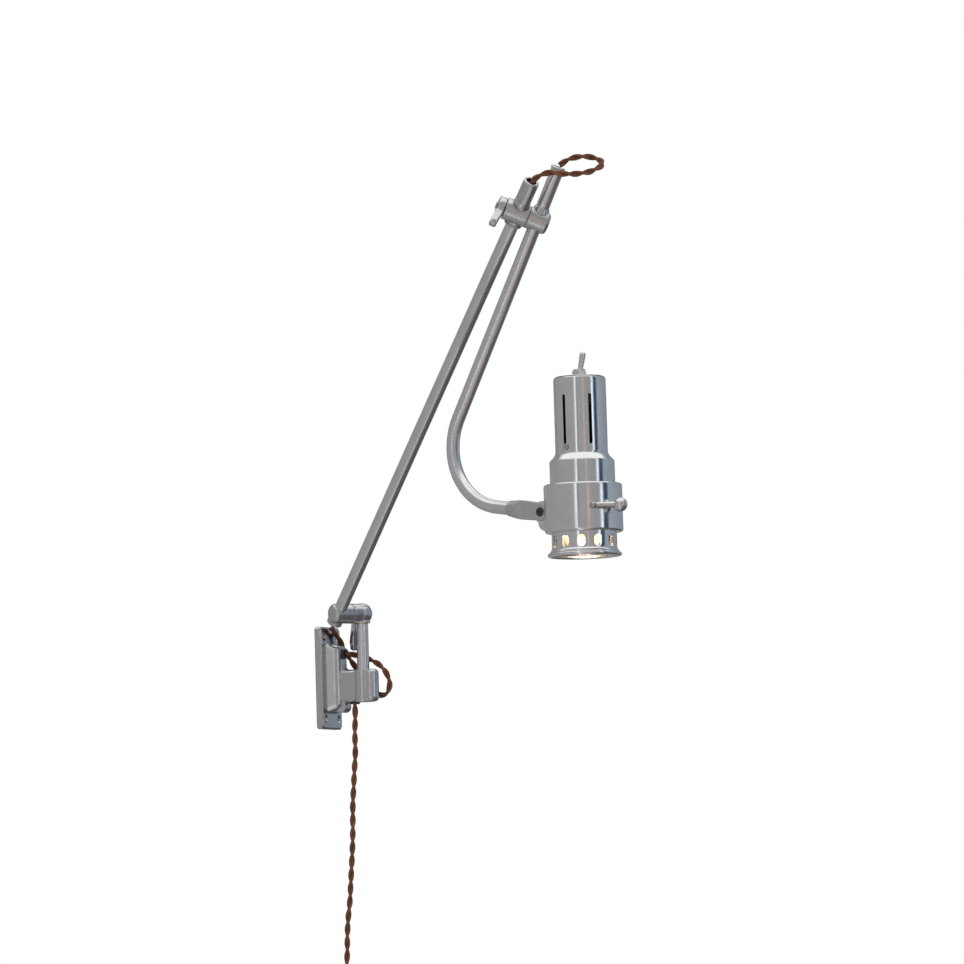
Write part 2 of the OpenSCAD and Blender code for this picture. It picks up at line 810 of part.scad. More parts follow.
module collar_lever_rod() {
  color(chrome) at_head() rotate([0, 0, lever_turn]) translate([collar_r + 3.7, 0, 0]) difference() {
    rotate([-90, 0, 0]) cylinder(r1 = 2.5, r2 = 3.2, h = rod_len - ball_d / 2 + 0.7);
    sphere(3.3 + seat);
  }
}

module collar_lever_ball() {
  color(chrome) at_head() rotate([0, 0, lever_turn]) translate([collar_r + 3.7, rod_len, 0]) difference() {
    sphere(ball_d / 2);
    translate([0, 0.72 - ball_d / 2, 0]) rod_y(3.3, -2, 0);
  }
}

// The housing: a vented cap, a hollow cove and the tube that the collar grips.
module lamp_housing() {
  top_r = 3.5;
  in_top = cap_top - 1.6;
  step_r = 2.2;
  color(chrome) at_head() difference() {
    rotate_extrude($fn = 96) polygon(concat(
      [[0, cap_top]], arc(cap_r - top_r, cap_top - top_r, top_r, 90, 0),
      arc(cap_r + cove_r, cap_low, cove_r, 180, 218, 5),
      arc(head_r - step_r, step_z - 2, step_r, 62, 0, 4), [[head_r, mouth_low], [head_r - shell_t, mouth_low]],
      [[head_r - shell_t, step_z - 3.4], [cap_in_r, step_z + 1.6]], [[cap_in_r, in_top], [0, in_top]]));
    translate([0, 0, cap_top - 4]) cylinder(r = bush_r + fit, h = 8);
    for (i = [0 : slots - 1]) {
      rotate([0, 0, slot_turn + i * 360 / slots]) translate([0, 0, (slot_low + slot_high) / 2]) {
        vent_slot();
      }
    }
    for (s = [-1, 1]) {
      translate([0, 0, bracket_z + 2]) rod_y(m3_r + fit, s * cap_r - 3, s * cap_r + 3);
    }
  }
}

module vent_slot() {
  straight = slot_len - slot_w;
  translate([cap_in_r - 2, -slot_w / 2, -straight / 2]) cube([6, slot_w, straight]);
  for (s = [-1, 1]) {
    translate([0, 0, s * straight / 2]) rod_x(slot_w / 2, cap_in_r - 2, cap_r + 2);
  }
}

// The flared mouth with its ring of light holes and a rolled rim.
module perforated_mouth() {
  in_r = head_r - shell_t - fit - 1.2;
  neck_z = -rim_low + 10;
  rim_r = 2;
  color(chrome) at_head() difference() {
    union() {
      rotate_extrude($fn = 96) polygon(concat(
        [[in_r, spigot_top], [head_r - shell_t - fit, spigot_top]],
        [[head_r - shell_t - fit, mouth_low - seat], [head_r, mouth_low - seat], [head_r, neck_z]],
        arc(head_r + 7, neck_z, 7, 180, 225, 4), [[rim_d / 2 - rim_r, rim_r - rim_low]],
        [[rim_d / 2 - rim_r - 1.4, rim_r - rim_low + 0.4], [in_r, neck_z + 1]]));
      rotate_extrude($fn = 96) translate([rim_d / 2 - rim_r, rim_r - rim_low]) circle(rim_r, $fn = 24);
    }
    for (i = [0 : holes - 1]) {
      rotate([0, 0, i * 360 / holes]) translate([0, 0, hole_z]) light_hole();
    }
  }
}

module light_hole() {
  straight = hole_h - hole_w;
  if (straight > 0) {
    translate([head_r - 6, -hole_w / 2, -straight / 2]) cube([12, hole_w, straight]);
  }
  for (s = [-1, 1]) {
    translate([0, 0, s * straight / 2]) rod_x(hole_w / 2, head_r - 6, head_r + 6);
  }
}

// A bright conical reflector that rests on the mouth's spigot.
module reflector() {
  base_r = head_r - shell_t - fit - 1.2 - 0.3;
  color([0.9, 0.9, 0.88]) at_head() rotate_extrude($fn = 96) {
    polygon([[base_r, spigot_top - 10], [base_r, spigot_top + seat], [head_r - shell_t - 0.3, spigot_top + seat],
      [head_r - shell_t - 0.3, spigot_top + 0.8], [base_r - 0.4, spigot_top + 0.8], [24, 22],
      [23.2, 22], [base_r - 0.8, spigot_top - 0.6], [base_r - 0.8, spigot_top - 10]]);
  }
}

// A steel strap across the cap that carries the lampholder.
module holder_bracket() {
  color(steel) at_head() difference() {
    union() {
      translate([-8, -cap_in_r + 0.25, bracket_z - 0.8]) cube([16, 2 * cap_in_r - 0.5, 1.6]);
      for (s = [-1, 1]) {
        translate([-6, s * (cap_in_r - 1.15) - 0.8, bracket_z - 0.8]) cube([12, 1.6, 7]);
      }
    }
    translate([0, 0, bracket_z - 3]) cylinder(r = 5 + fit, h = 8);
    for (s = [-1, 1]) {
      translate([0, 0, bracket_z + 2]) rod_y(m3_r + fit, s * cap_in_r - 4, s * cap_in_r + 4);
    }
    translate([0, 0, bracket_z - 5]) difference() {
      cylinder(r = cap_r + 9, h = 20);
      translate([0, 0, -1]) cylinder(r = cap_in_r - 0.1, h = 22);
    }
  }
}

module holder_screws() {
  color(steel) at_head() for (s = [-1, 1]) {
    translate([0, 0, bracket_z + 2]) {
      rod_y(m3_r, s > 0 ? cap_in_r - 3 : -cap_r - 0.9, s > 0 ? cap_r + 0.9 : 3 - cap_in_r);
      rod_y(2.7, s > 0 ? cap_r + 0.15 : -cap_r - 1.5, s > 0 ? cap_r + 1.5 : -cap_r - 0.15);
    }
  }
}

module lampholder() {
  color([0.93, 0.91, 0.86]) at_head() difference() {
    union() {
      translate([0, 0, holder_low]) cylinder(r = holder_r, h = bracket_z - 0.9 - holder_low);
      translate([0, 0, bracket_z - 2]) cylinder(r = 5, h = 8);
    }
    translate([0, 0, holder_low - 1]) cylinder(r = shell_r + 0.4 + fit, h = 28);
    translate([0, 0, holder_low + 20]) cylinder(r = 3.5 + fit, h = 12);
    translate([0, 0, holder_low + 20]) cylinder(r = 2, h = 40);
  }
}

module holder_shell() {
  color(brass) at_head() translate([0, 0, holder_low + 1]) ring(shell_r - 0.4, shell_r + 0.4, 24);
}

module holder_contact() {
  color(brass) at_head() translate([0, 0, bulb_cap_high + 2.1]) cylinder(r = 3.4, h = 3);
}

module bulb_glass() {
  color([1, 0.9, 0.7]) at_head() rotate_extrude($fn = 64) polygon(concat(
    [[0, bulb_z - bulb_r]], arc(0, bulb_z, bulb_r, -85, 42, 14),
    [[bulb_cap_r - 0.6, bulb_cap_low - 3], [bulb_cap_r - 0.6, bulb_cap_low], [0, bulb_cap_low]]));
}

module bulb_cap() {
  color(brass) at_head() {
    translate([0, 0, bulb_cap_low + seat]) cylinder(r = bulb_cap_r, h = bulb_cap_high - bulb_cap_low);
    translate([0, 0, bulb_cap_high]) cylinder(r = 4, h = 2);
  }
}

module switch_body() {
  color([0.12, 0.11, 0.1]) at_head() rotate([0, 0, switch_turn]) difference() {
    translate([-12, -8, switch_top - 25]) cube([24, 16, 25 - 0.3]);
    translate([0, 0, switch_top - 6]) cylinder(r = bush_r + fit, h = 8);
    for (x = [-1, 1]) {
      translate([x * 6, 0, switch_top - 26]) cylinder(r = 1.2, h = 6);
    }
  }
}

module switch_bushing() {
  color(chrome) at_head() difference() {
    translate([0, 0, switch_top - 5.8]) cylinder(r = bush_r, h = 5.8 + 1.6 + 7.4);
    translate([0, 0, cap_top + 2]) cylinder(r1 = 3.6, r2 = 5.3, h = 6);
    translate([0, 0, cap_top - 2.4]) cylinder(r = 3.7, h = 5);
  }
}

module switch_nut() {
  color(chrome) at_head() translate([0, 0, cap_top + seat]) difference() {
    cylinder(r = 7.6, h = 5.6, $fn = 6);
    translate([0, 0, -1]) cylinder(r = bush_r + fit, h = 8);
  }
}

module switch_lever() {
  color(chrome) at_head() rotate([0, 0, switch_turn]) translate([0, 0, cap_top + 1]) {
    rotate([0, bat_tilt, 0]) {
      sphere(3.3);
      rod_y(1.2, -3.55, 3.55);
      cylinder(r1 = 2.3, r2 = 3.1, h = bat_len + 4);
      translate([0, 0, bat_len + 4]) sphere(3.1);
    }
  }
}

module switch_leads() {
  color(brown) at_head() rotate([0, 0, switch_turn]) for (x = [-1, 1]) {
    translate([x * 6, 0, bracket_z + 1]) cylinder(r = 1, h = switch_top - 22 - bracket_z);
  }
}

// Flex

// One ring of a swept tube at point i of a route, square to the route, with a fixed reference.
function tangent(route, i) = let (
  a = route[max(i - 1, 0)], b = route[min(i + 1, len(route) - 1)]) (b - a) / norm(b - a);
function ring_points(route, i, r, sides, ref) = let (
  t = tangent(route, i), n0 = cross(t, ref), n = n0 / norm(n0), m = cross(t, n))
  [for (k = [0 : sides - 1]) route[i] + r * (cos(k * 360 / sides) * n + sin(k * 360 / sides) * m)];

module swept_tube(route, r, ref, sides = 8) {
  last = len(route) - 1;
  points = [for (i = [0 : last]) each ring_points(route, i, r, sides, ref)];
  walls = [for (i = [0 : last - 1], k = [0 : sides - 1]) let (j = (k + 1) % sides)
    [i * sides + k, i * sides + j, (i + 1) * sides + j, (i + 1) * sides + k]];
  start_cap = [[for (k = [0 : sides - 1]) sides - 1 - k]];
  end_cap = [[for (k = [0 : sides - 1]) last * sides + k]];
  polyhedron(points, concat(start_cap, walls, end_cap), convexity = 4);
}

// The short loop from the lower tube's end over to the upper tube's end.
top_route = [[-256, -367, 470.6], [-258, -376, 475], [-253, -385, 478], [-245, -396, 477], [-237, -408, 477],
  [-227, -420, 480], [-218, -428, 487], [-214, -421, 494], [-219, -407, 497], [-227, -396, 494],
  [-233, -388, 488]];
// The loop from the bottom of the lower tube, behind the post and into the bracket.
service_route = [[-17, -19, 56], [-8, -13, 52], [2, -11, 48], [11, -12, 42], [17, -14, 33], [19, -21, 20],
  [19.5, -31, 6], [19.5, -42, -9], [18, -54, -19], [16, -64, -18], [14, -69, -9], [13, -67, 1],
  [12.5, -61, 10], [12, -52, 16.5], [11, -43, 20.5], [7, -34, 23.5], [2, -28, 25], [0, -24.5, 25]];
// The supply lead from under the bracket down to its hank.
mains_route = [[0, -34, -28], [0, -34, -42], [0, -33, -60], [2, -32, -80], [3, -30, -98], [4, -28, -116],
  [5, -26, -134], [6, -25, -150], [7, -24, -166], [9, -22, -184], [10, -20, -202], [11, -18, -220],
  [12, -16, -238], [13, -13, -256], [14, -11, -274], [15, -10, -290], [15, -9, -305], [15, -9, -320],
  [hank_x, -9, hank_top]];

module top_loop_flex() {
  color(brown) swept_tube(top_route, flex_r, [-0.8, -0.3, 0.5]);
}

module service_loop_flex() {
  color(brown) swept_tube(service_route, flex_r, [1, 0.15, 0.1]);
}

module mains_flex() {
  color(brown) swept_tube(mains_route, flex_r, [1, 0, 0]);
}

module mains_hank() {
  color(brown) translate([hank_x, hank_y + hank_t / 2, hank_top - hank_len / 2 - seat]) off_wall() {
    linear_extrude(hank_t) rounded_rect(hank_w, hank_len, hank_w / 2 - 0.5);
  }
}

// The tie wraps the waist of the hank.
module hank_tie() {
  w = hank_w + 2;
  t = hank_t + 2;
  color(rubber) translate([hank_x, hank_y, hank_top - hank_len / 2]) difference() {
    cube([w, t, 9], center = true);
    cube([hank_w + 0.1, hank_t + 0.1, 12], center = true);
  }
}

module plug_body() {
  color([0.2, 0.1, 0.06]) translate([hank_x, plug_y, plug_top]) {
    translate([0, 0, -6]) cylinder(r1 = 7, r2 = 4.4, h = 6);
    translate([0, 0, -plug_len]) cylinder(r = 12.5, h = plug_len - 14);
    translate([0, 0, -14]) cylinder(r1 = 12.5, r2 = 7, h = 8);
  }
}

module plug_pins() {
  color(brass) translate([hank_x, plug_y, plug_top - plug_len - seat]) for (x = [-1, 1]) {
    translate([x * 9.5, 0, -pin_len]) cylinder(r = 2.4, h = pin_len);
  }
}

bracket_casting();
back_cover();
back_cover_screws();
terminal_block();
terminal_screws();
upper_grommet();
lower_grommet();
post();
post_screw();
thrust_washer();
swivel_block();
swing_lock_screw();
swing_lock_lever();
knuckle_friction_washer();
knuckle_retaining_screws();
tilt_block();
lower_tube();
lower_tube_flex();
elbow_split_sleeve();
elbow_lower_block();
elbow_lock_screw();
elbow_lock_lever();
elbow_friction_washer();
elbow_retaining_screws();
elbow_upper_block();
upper_tube();
upper_tube_flex();
neck_fork();
hinge_screw();
hinge_nut();
hinge_washers();
clamp_collar();
collar_clamp_screw();
collar_lever_rod();
collar_lever_ball();
lamp_housing();
perforated_mouth();
reflector();
holder_bracket();
holder_screws();
lampholder();
holder_shell();
holder_contact();
bulb_glass();
bulb_cap();
switch_body();
switch_bushing();
switch_nut();
switch_lever();
switch_leads();
top_loop_flex();
service_loop_flex();
mains_flex();
mains_hank();
hank_tie();
plug_body();
plug_pins();
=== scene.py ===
"""Swing-arm wall lamp in polished metal: finishes, flex, soft studio light and camera.

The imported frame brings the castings, tubes, lamp head and fasteners. This script lays the twisted
cloth flex, shapes the locking levers, the tie and the plug, gives every piece a finish worked out
from procedural nodes, and sets a pale studio round the lamp.
"""

import json
import logging
import math
from dataclasses import dataclass, field, replace
from enum import Enum
from typing import Iterable, Sequence

import bmesh
import bpy
from mathutils import Matrix, Vector


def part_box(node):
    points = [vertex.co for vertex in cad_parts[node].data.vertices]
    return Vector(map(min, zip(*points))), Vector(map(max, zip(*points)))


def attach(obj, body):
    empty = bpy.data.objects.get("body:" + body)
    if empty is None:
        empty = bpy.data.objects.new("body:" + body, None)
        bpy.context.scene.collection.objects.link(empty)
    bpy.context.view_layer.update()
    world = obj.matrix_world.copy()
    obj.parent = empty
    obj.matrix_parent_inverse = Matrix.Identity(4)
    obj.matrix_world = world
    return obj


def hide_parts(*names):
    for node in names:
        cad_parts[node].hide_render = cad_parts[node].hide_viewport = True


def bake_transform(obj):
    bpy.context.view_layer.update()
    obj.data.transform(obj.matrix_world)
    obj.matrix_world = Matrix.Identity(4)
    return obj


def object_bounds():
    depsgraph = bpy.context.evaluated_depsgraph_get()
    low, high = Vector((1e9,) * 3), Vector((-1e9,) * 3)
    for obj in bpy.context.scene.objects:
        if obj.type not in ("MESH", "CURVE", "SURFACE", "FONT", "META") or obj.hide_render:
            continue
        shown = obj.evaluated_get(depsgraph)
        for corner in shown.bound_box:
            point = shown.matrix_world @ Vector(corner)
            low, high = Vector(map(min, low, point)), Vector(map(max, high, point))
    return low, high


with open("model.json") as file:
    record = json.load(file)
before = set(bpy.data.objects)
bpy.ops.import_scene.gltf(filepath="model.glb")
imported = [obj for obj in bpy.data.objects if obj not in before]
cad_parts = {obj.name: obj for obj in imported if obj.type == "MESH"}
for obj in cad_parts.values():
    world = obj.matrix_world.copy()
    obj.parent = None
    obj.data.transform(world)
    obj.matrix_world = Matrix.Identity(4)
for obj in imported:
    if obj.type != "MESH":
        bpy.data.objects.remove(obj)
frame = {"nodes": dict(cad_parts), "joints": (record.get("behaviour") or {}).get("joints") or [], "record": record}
CAD_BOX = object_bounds()

logging.basicConfig(level=logging.INFO, format="%(message)s")
LOG = logging.getLogger("wall_lamp")

MM = 0.001
WELD = 0.001 * MM
SPLINE_STEPS = 24
Point = tuple[float, float, float]
Colour = tuple[float, float, float]


class Throw(Enum):
    """How a pattern is placed on a surface."""

    OBJECT = "Object"
    UV = "UV"


# Shader helpers


class Signal:
    """One number that varies over a surface; arithmetic on it adds Math nodes."""

    def __init__(self, shader: "Shader", socket: bpy.types.NodeSocket) -> None:
        """Wraps one output socket of a shader."""
        self.shader = shader
        self.socket = socket

    def _math(self, operation: str, first: object, second: object = None) -> "Signal":
        """Adds one Math node, with one operand or two, and gives its result."""
        values = {0: first} if second is None else {0: first, 1: second}
        return self.shader.signal("ShaderNodeMath", {"operation": operation}, values)

    def __add__(self, other: object) -> "Signal":
        """self + other."""
        return self._math("ADD", self, other)

    __radd__ = __add__

    def __sub__(self, other: object) -> "Signal":
        """self - other."""
        return self._math("SUBTRACT", self, other)

    def __rsub__(self, other: object) -> "Signal":
        """other - self."""
        return self._math("SUBTRACT", other, self)

    def __mul__(self, other: object) -> "Signal":
        """self * other."""
        return self._math("MULTIPLY", self, other)

    __rmul__ = __mul__

    def __truediv__(self, other: object) -> "Signal":
        """self / other."""
        return self._math("DIVIDE", self, other)

    def __rtruediv__(self, other: object) -> "Signal":
        """other / self."""
        return self._math("DIVIDE", other, self)

    def sine(self) -> "Signal":
        """The sine of self, in radians."""
        return self._math("SINE", self)

    def arctangent(self, other: object) -> "Signal":
        """The angle whose tangent is self over other, in radians."""
        return self._math("ARCTAN2", self, other)

    def above(self, level: float) -> "Signal":
        """1 where self is greater than level, else 0."""
        return self._math("GREATER_THAN", self, level)

    def clamped(self) -> "Signal":
        """self kept between 0 and 1."""
        return self.shader.signal("ShaderNodeClamp", {}, {"Value": self})


class Shader:
    """A material's node tree, with short ways to add to it."""

    def __init__(self, name: str) -> None:
        """Starts a material with a Principled shader on its output.

        Args:
            name: The material's name.
        """
        self.material = bpy.data.materials.new(name)
        self.material.use_nodes = True
        self.tree = self.material.node_tree
        self.tree.nodes.clear()
        self.output = self.tree.nodes.new("ShaderNodeOutputMaterial")
        self.surface = self.tree.nodes.new("ShaderNodeBsdfPrincipled")
        self.tree.links.new(self.surface.outputs[0], self.output.inputs["Surface"])

    def put(self, socket: bpy.types.NodeSocket, value: object) -> None:
        """Links or sets one input socket.

        Args:
            socket: The input.
            value: A Signal, a socket, or a plain value.
        """
        if isinstance(value, Signal):
            self.tree.links.new(value.socket, socket)
        elif isinstance(value, bpy.types.NodeSocket):
            self.tree.links.new(value, socket)
        elif isinstance(value, tuple) and len(value) == 3 and socket.type == "RGBA":
            socket.default_value = (*value, 1.0)
        else:
            socket.default_value = value

    def node(self, kind: str, settings: dict[str, object], values: dict) -> bpy.types.Node:
        """Adds any node: its type, then its settings, then its sockets.

        Args:
            kind: Blender's node type.
            settings: Attributes to set first; "ramp" holds a colour ramp's stops.
            values: Input name or index to a value or link.

        Returns:
            The new node.
        """
        node = self.tree.nodes.new(kind)
        for key, value in settings.items():
            if key == "ramp":
                self._fill_ramp(node.color_ramp, value)
            else:
                setattr(node, key, value)
        for key, value in values.items():
            self.put(node.inputs[key], value)
        return node

    @staticmethod
    def _fill_ramp(ramp: bpy.types.ColorRamp, stops: Sequence[tuple[float, Colour]]) -> None:
        """Sets a ramp's stops.

        Args:
            ramp: The ramp.
            stops: Positions and colours, in order.
        """
        while len(ramp.elements) < len(stops):
            ramp.elements.new(0.5)
        for element, (place, colour) in zip(ramp.elements, stops):
            element.position = place
            element.color = (*colour, 1.0)

    def signal(self, kind: str, settings: dict, values: dict, output: object = 0) -> Signal:
        """Adds a node, as node() does, and wraps one of its outputs, by name or index."""
        return Signal(self, self.node(kind, settings, values).outputs[output])

    def place(self, throw: Throw = Throw.OBJECT, stretch: Point = (1.0, 1.0, 1.0)) -> bpy.types.NodeSocket:
        """Texture coordinates, with each axis scaled by its stretch."""
        source = self.node("ShaderNodeTexCoord", {}, {}).outputs[throw.value]
        return self.node("ShaderNodeMapping", {}, {"Vector": source, "Scale": stretch}).outputs[0]

    def noise(self, at: bpy.types.NodeSocket, scale: float, detail: float = 3.0,
              rough: float = 0.55) -> Signal:
        """Soft noise from 0 to 1; scale is how many features a metre holds."""
        values = {"Vector": at, "Scale": scale, "Detail": detail, "Roughness": rough}
        return self.signal("ShaderNodeTexNoise", {}, values, "Fac")

    def split(self, vector: bpy.types.NodeSocket) -> list[Signal]:
        """A vector's three parts."""
        node = self.node("ShaderNodeSeparateXYZ", {}, {"Vector": vector})
        return [Signal(self, output) for output in node.outputs]

    def ramp(self, share: Signal, stops: Sequence[tuple[float, Colour]]) -> bpy.types.NodeSocket:
        """A colour that runs through stops as share goes from 0 to 1."""
        return self.node("ShaderNodeValToRGB", {"ramp": stops}, {"Fac": share}).outputs[0]

    def blend_colour(self, share: object, first: object, second: object) -> bpy.types.NodeSocket:
        """Mixes two colours.

        Args:
            share: 0 for the first, 1 for the second.
            first: A colour or a link.
            second: A colour or a link.

        Returns:
            The mixed colour's socket.
        """
        node = self.node("ShaderNodeMix", {"data_type": "RGBA"}, {})
        for socket, value in ((node.inputs[0], share), (node.inputs[6], first), (node.inputs[7], second)):
            self.put(socket, value)
        return node.outputs[2]

    def bump(self, height: Signal, depth: float, strength: float = 1.0,
             edge: float = 0.0) -> bpy.types.NodeSocket:
        """Turns a height into a normal, over softened edges.

        Args:
            height: The height, from 0 to 1.
            depth: How deep 1 is, in metres.
            strength: How strongly it shows.
            edge: Radius of the softened edges, in metres, or 0 for none.

        Returns:
            The normal's socket.
        """
        values = {"Height": height, "Distance": depth, "Strength": strength}
        if edge > 0:
            values["Normal"] = self.node("ShaderNodeBevel", {"samples": 4}, {"Radius": edge}).outputs[0]
        return self.node("ShaderNodeBump", {}, values).outputs[0]

    def finish(self, **sockets: object) -> None:
        """Sets sockets of the Principled shader, written with underscores for spaces."""
        for key, value in sockets.items():
            self.put(self.surface.inputs[key.replace("_", " ")], value)


# Finishes


@dataclass(frozen=True)
class Finish:
    """A named finish, worked out from procedural nodes."""

    name: str

    def material(self) -> bpy.types.Material:
        """Builds the material."""
        shader = Shader(self.name)
        self.dress(shader, shader.place())
        return shader.material

    def dress(self, shader: Shader, at: bpy.types.NodeSocket) -> None:
        """Fills the shader in, each finish in its own way; at is the piece's own coordinates."""
        raise NotImplementedError


@dataclass(frozen=True)
class PolishedMetal(Finish):
    """Polished or turned metal: faint cloudiness, fine scratches and softened edges.

    Inside a hollow piece, within a radius of its upright axis and below a ceiling, the colour is painted shade:
    near-black, matt and not metal.
    """

    tint: Colour
    dull: Colour
    shine: float = 0.12
    haze: float = 0.10
    scratch: float = 0.05
    ripple: float = 0.03 * MM
    edge: float = 0.6 * MM
    grain: Point = (1.0, 1.0, 1.0)
    hollow: tuple[float, float, float, float] | None = None
    cloud_scale: float = 38.0
    spot_scale: float = 420.0
    line_scale: float = 900.0
    # painted shade: the near-black colour put inside a hollow piece, where shade falls
    painted_shade: Colour = (0.012, 0.012, 0.013)
    painted_shade_rough: float = 0.6

    def dress(self, shader: Shader, at: bpy.types.NodeSocket) -> None:
        """Fills the shader in."""
        cloud = shader.noise(at, self.cloud_scale, 4.0, 0.6)
        spots = shader.noise(at, self.spot_scale, 2.0, 0.5)
        lines = shader.noise(shader.place(stretch=self.grain), self.line_scale, 2.0, 0.6)
        worn = ((cloud - 0.42) * 3.2).clamped()
        fine = ((lines - 0.5) * 2.0).clamped()
        tone = shader.blend_colour(worn * 0.55 + spots * 0.2, self.tint, self.dull)
        rough = worn * self.haze + fine * self.scratch + self.shine
        height = cloud * 0.7 + lines * 0.04
        unshaded: object = 1.0
        # painted shade: inside the hollow, within the radius of the upright axis and below the ceiling, the colour
        # turns near-black, rougher and not metallic
        if self.hollow:
            x, y, z = shader.split(at)
            axis_x, axis_y, radius, ceiling = self.hollow
            out_x, out_y = x - axis_x, y - axis_y
            outside = (out_x * out_x + out_y * out_y).above(radius ** 2)
            unshaded = (outside + z.above(ceiling)).clamped()
            tone = shader.blend_colour(unshaded, self.painted_shade, tone)
            rough = rough + (1.0 - unshaded) * self.painted_shade_rough
        shader.finish(Base_Color=tone, Roughness=rough, Metallic=unshaded,
                      Normal=shader.bump(height, self.ripple, 0.35, self.edge))


@dataclass(frozen=True)
class CastMetal(Finish):
    """A polished casting: low waves left by hand polishing, and pits where it wasn't reached."""

    tint: Colour
    dull: Colour
    shine: float = 0.17
    wave_scale: float = 55.0
    pit_scale: float = 1500.0
    relief: float = 0.16 * MM
    edge: float = 1.2 * MM

    def dress(self, shader: Shader, at: bpy.types.NodeSocket) -> None:
        """Fills the shader in."""
        wave = shader.noise(at, self.wave_scale, 2.0, 0.5)
        pits = shader.noise(at, self.pit_scale, 3.0, 0.6)
        hollow = ((pits - 0.66) * 9.0).clamped()
        worn = ((wave - 0.45) * 3.0).clamped()
        tone = shader.blend_colour(worn * 0.5 + hollow * 0.4, self.tint, self.dull)
        rough = worn * 0.13 + hollow * 0.2 + pits * 0.06 + self.shine
        height = wave - hollow * 0.12
        shader.finish(Base_Color=tone, Roughness=rough, Metallic=1.0,
                      Normal=shader.bump(height, self.relief, 0.4, self.edge))


@dataclass(frozen=True)
class Moulded(Finish):
    """A moulded or fired piece: rubber, phenolic, porcelain or pressed fibre."""

    tint: Colour
    shade: Colour
    rough: float = 0.5
    grain: float = 600.0
    depth: float = 0.05 * MM
    coat: float = 0.0
    edge: float = 0.4 * MM

    def dress(self, shader: Shader, at: bpy.types.NodeSocket) -> None:
        """Fills the shader in."""
        fine = shader.noise(at, self.grain, 4.0, 0.6)
        broad = shader.noise(at, self.grain * 0.08, 3.0, 0.5)
        tone = shader.blend_colour(((broad - 0.35) * 2.4).clamped(), self.tint, self.shade)
        shader.finish(Base_Color=tone, Roughness=fine * 0.14 + (self.rough - 0.07),
                      Coat_Weight=self.coat,
                      Normal=shader.bump(fine, self.depth, 0.5, self.edge))


@dataclass(frozen=True)
class BraidedCloth(Finish):
    """The flex's braided cover: crossing threads along each core, dusty on the outside."""

    name: str = "brown_braid"
    dark: Colour = (0.030, 0.008, 0.002)
    warm: Colour = (0.125, 0.038, 0.009)
    pale: Colour = (0.19, 0.072, 0.024)
    threads: float = 8.0
    fibre_scale: float = 2600.0
    patch_scale: float = 90.0
    relief: float = 0.22 * MM
    sheen: float = 0.08
    sheen_tint: Colour = (0.7, 0.5, 0.35)

    def dress(self, shader: Shader, at: bpy.types.NodeSocket) -> None:
        """Fills the shader in. U runs round a core and V along it, in turns."""
        u, v, _ = shader.split(shader.place(Throw.UV))
        around = u * (2.0 * math.pi * self.threads)
        along = v * (2.0 * math.pi * self.threads)
        left = (around + along).sine() * 0.5 + 0.5
        right = (around - along).sine() * 0.5 + 0.5
        over = (around * 0.5).sine().above(0.0)
        weave = left * over + right * (1.0 - over)
        fibre = shader.noise(at, self.fibre_scale, 3.0, 0.7)
        patch = shader.noise(at, self.patch_scale, 3.0, 0.6)
        body = shader.blend_colour((weave * 0.75 + fibre * 0.25).clamped(), self.dark, self.warm)
        tone = shader.blend_colour(((patch - 0.5) * 1.6 + weave * fibre * 0.3).clamped(), body, self.pale)
        shader.finish(Base_Color=tone, Roughness=0.92 - fibre * 0.12, Sheen_Weight=self.sheen,
                      Sheen_Roughness=0.5, Sheen_Tint=self.sheen_tint,
                      Normal=shader.bump(weave * 0.8 + fibre * 0.4, self.relief, 0.9))


@dataclass(frozen=True)
class LitGlass(Finish):
    """An opal bulb that is switched on: brightest where the filament's light gathers."""

    name: str = "lit_opal_glass"
    warm: Colour = (1.0, 0.52, 0.20)
    white: Colour = (1.0, 0.74, 0.42)
    opal: Colour = (0.95, 0.88, 0.75)
    power: float = 1.0
    swirl_scale: float = 60.0

    def dress(self, shader: Shader, at: bpy.types.NodeSocket) -> None:
        """Fills the shader in."""
        swirl = shader.noise(at, self.swirl_scale, 2.0, 0.5)
        glow = shader.blend_colour(((swirl - 0.3) * 1.8).clamped(), self.warm, self.white)
        shader.finish(Base_Color=self.opal, Roughness=swirl * 0.1 + 0.15,
                      Emission_Color=glow, Emission_Strength=self.power)


@dataclass(frozen=True)
class StudioPaper(Finish):
    """The seamless floor: nearly white and matt."""

    name: str = "pale_paper"
    tint: Colour = (0.93, 0.93, 0.93)
    shade: Colour = (0.90, 0.90, 0.90)
    grain_scale: float = 8.0

    def dress(self, shader: Shader, at: bpy.types.NodeSocket) -> None:
        """Fills the shader in."""
        grain = shader.noise(at, self.grain_scale, 3.0, 0.5)
        tone = shader.blend_colour(grain * 0.3, self.tint, self.shade)
        shader.finish(Base_Color=tone, Roughness=0.9)


def grey(value: float) -> Colour:
    """A neutral colour."""
    return (value, value, value)


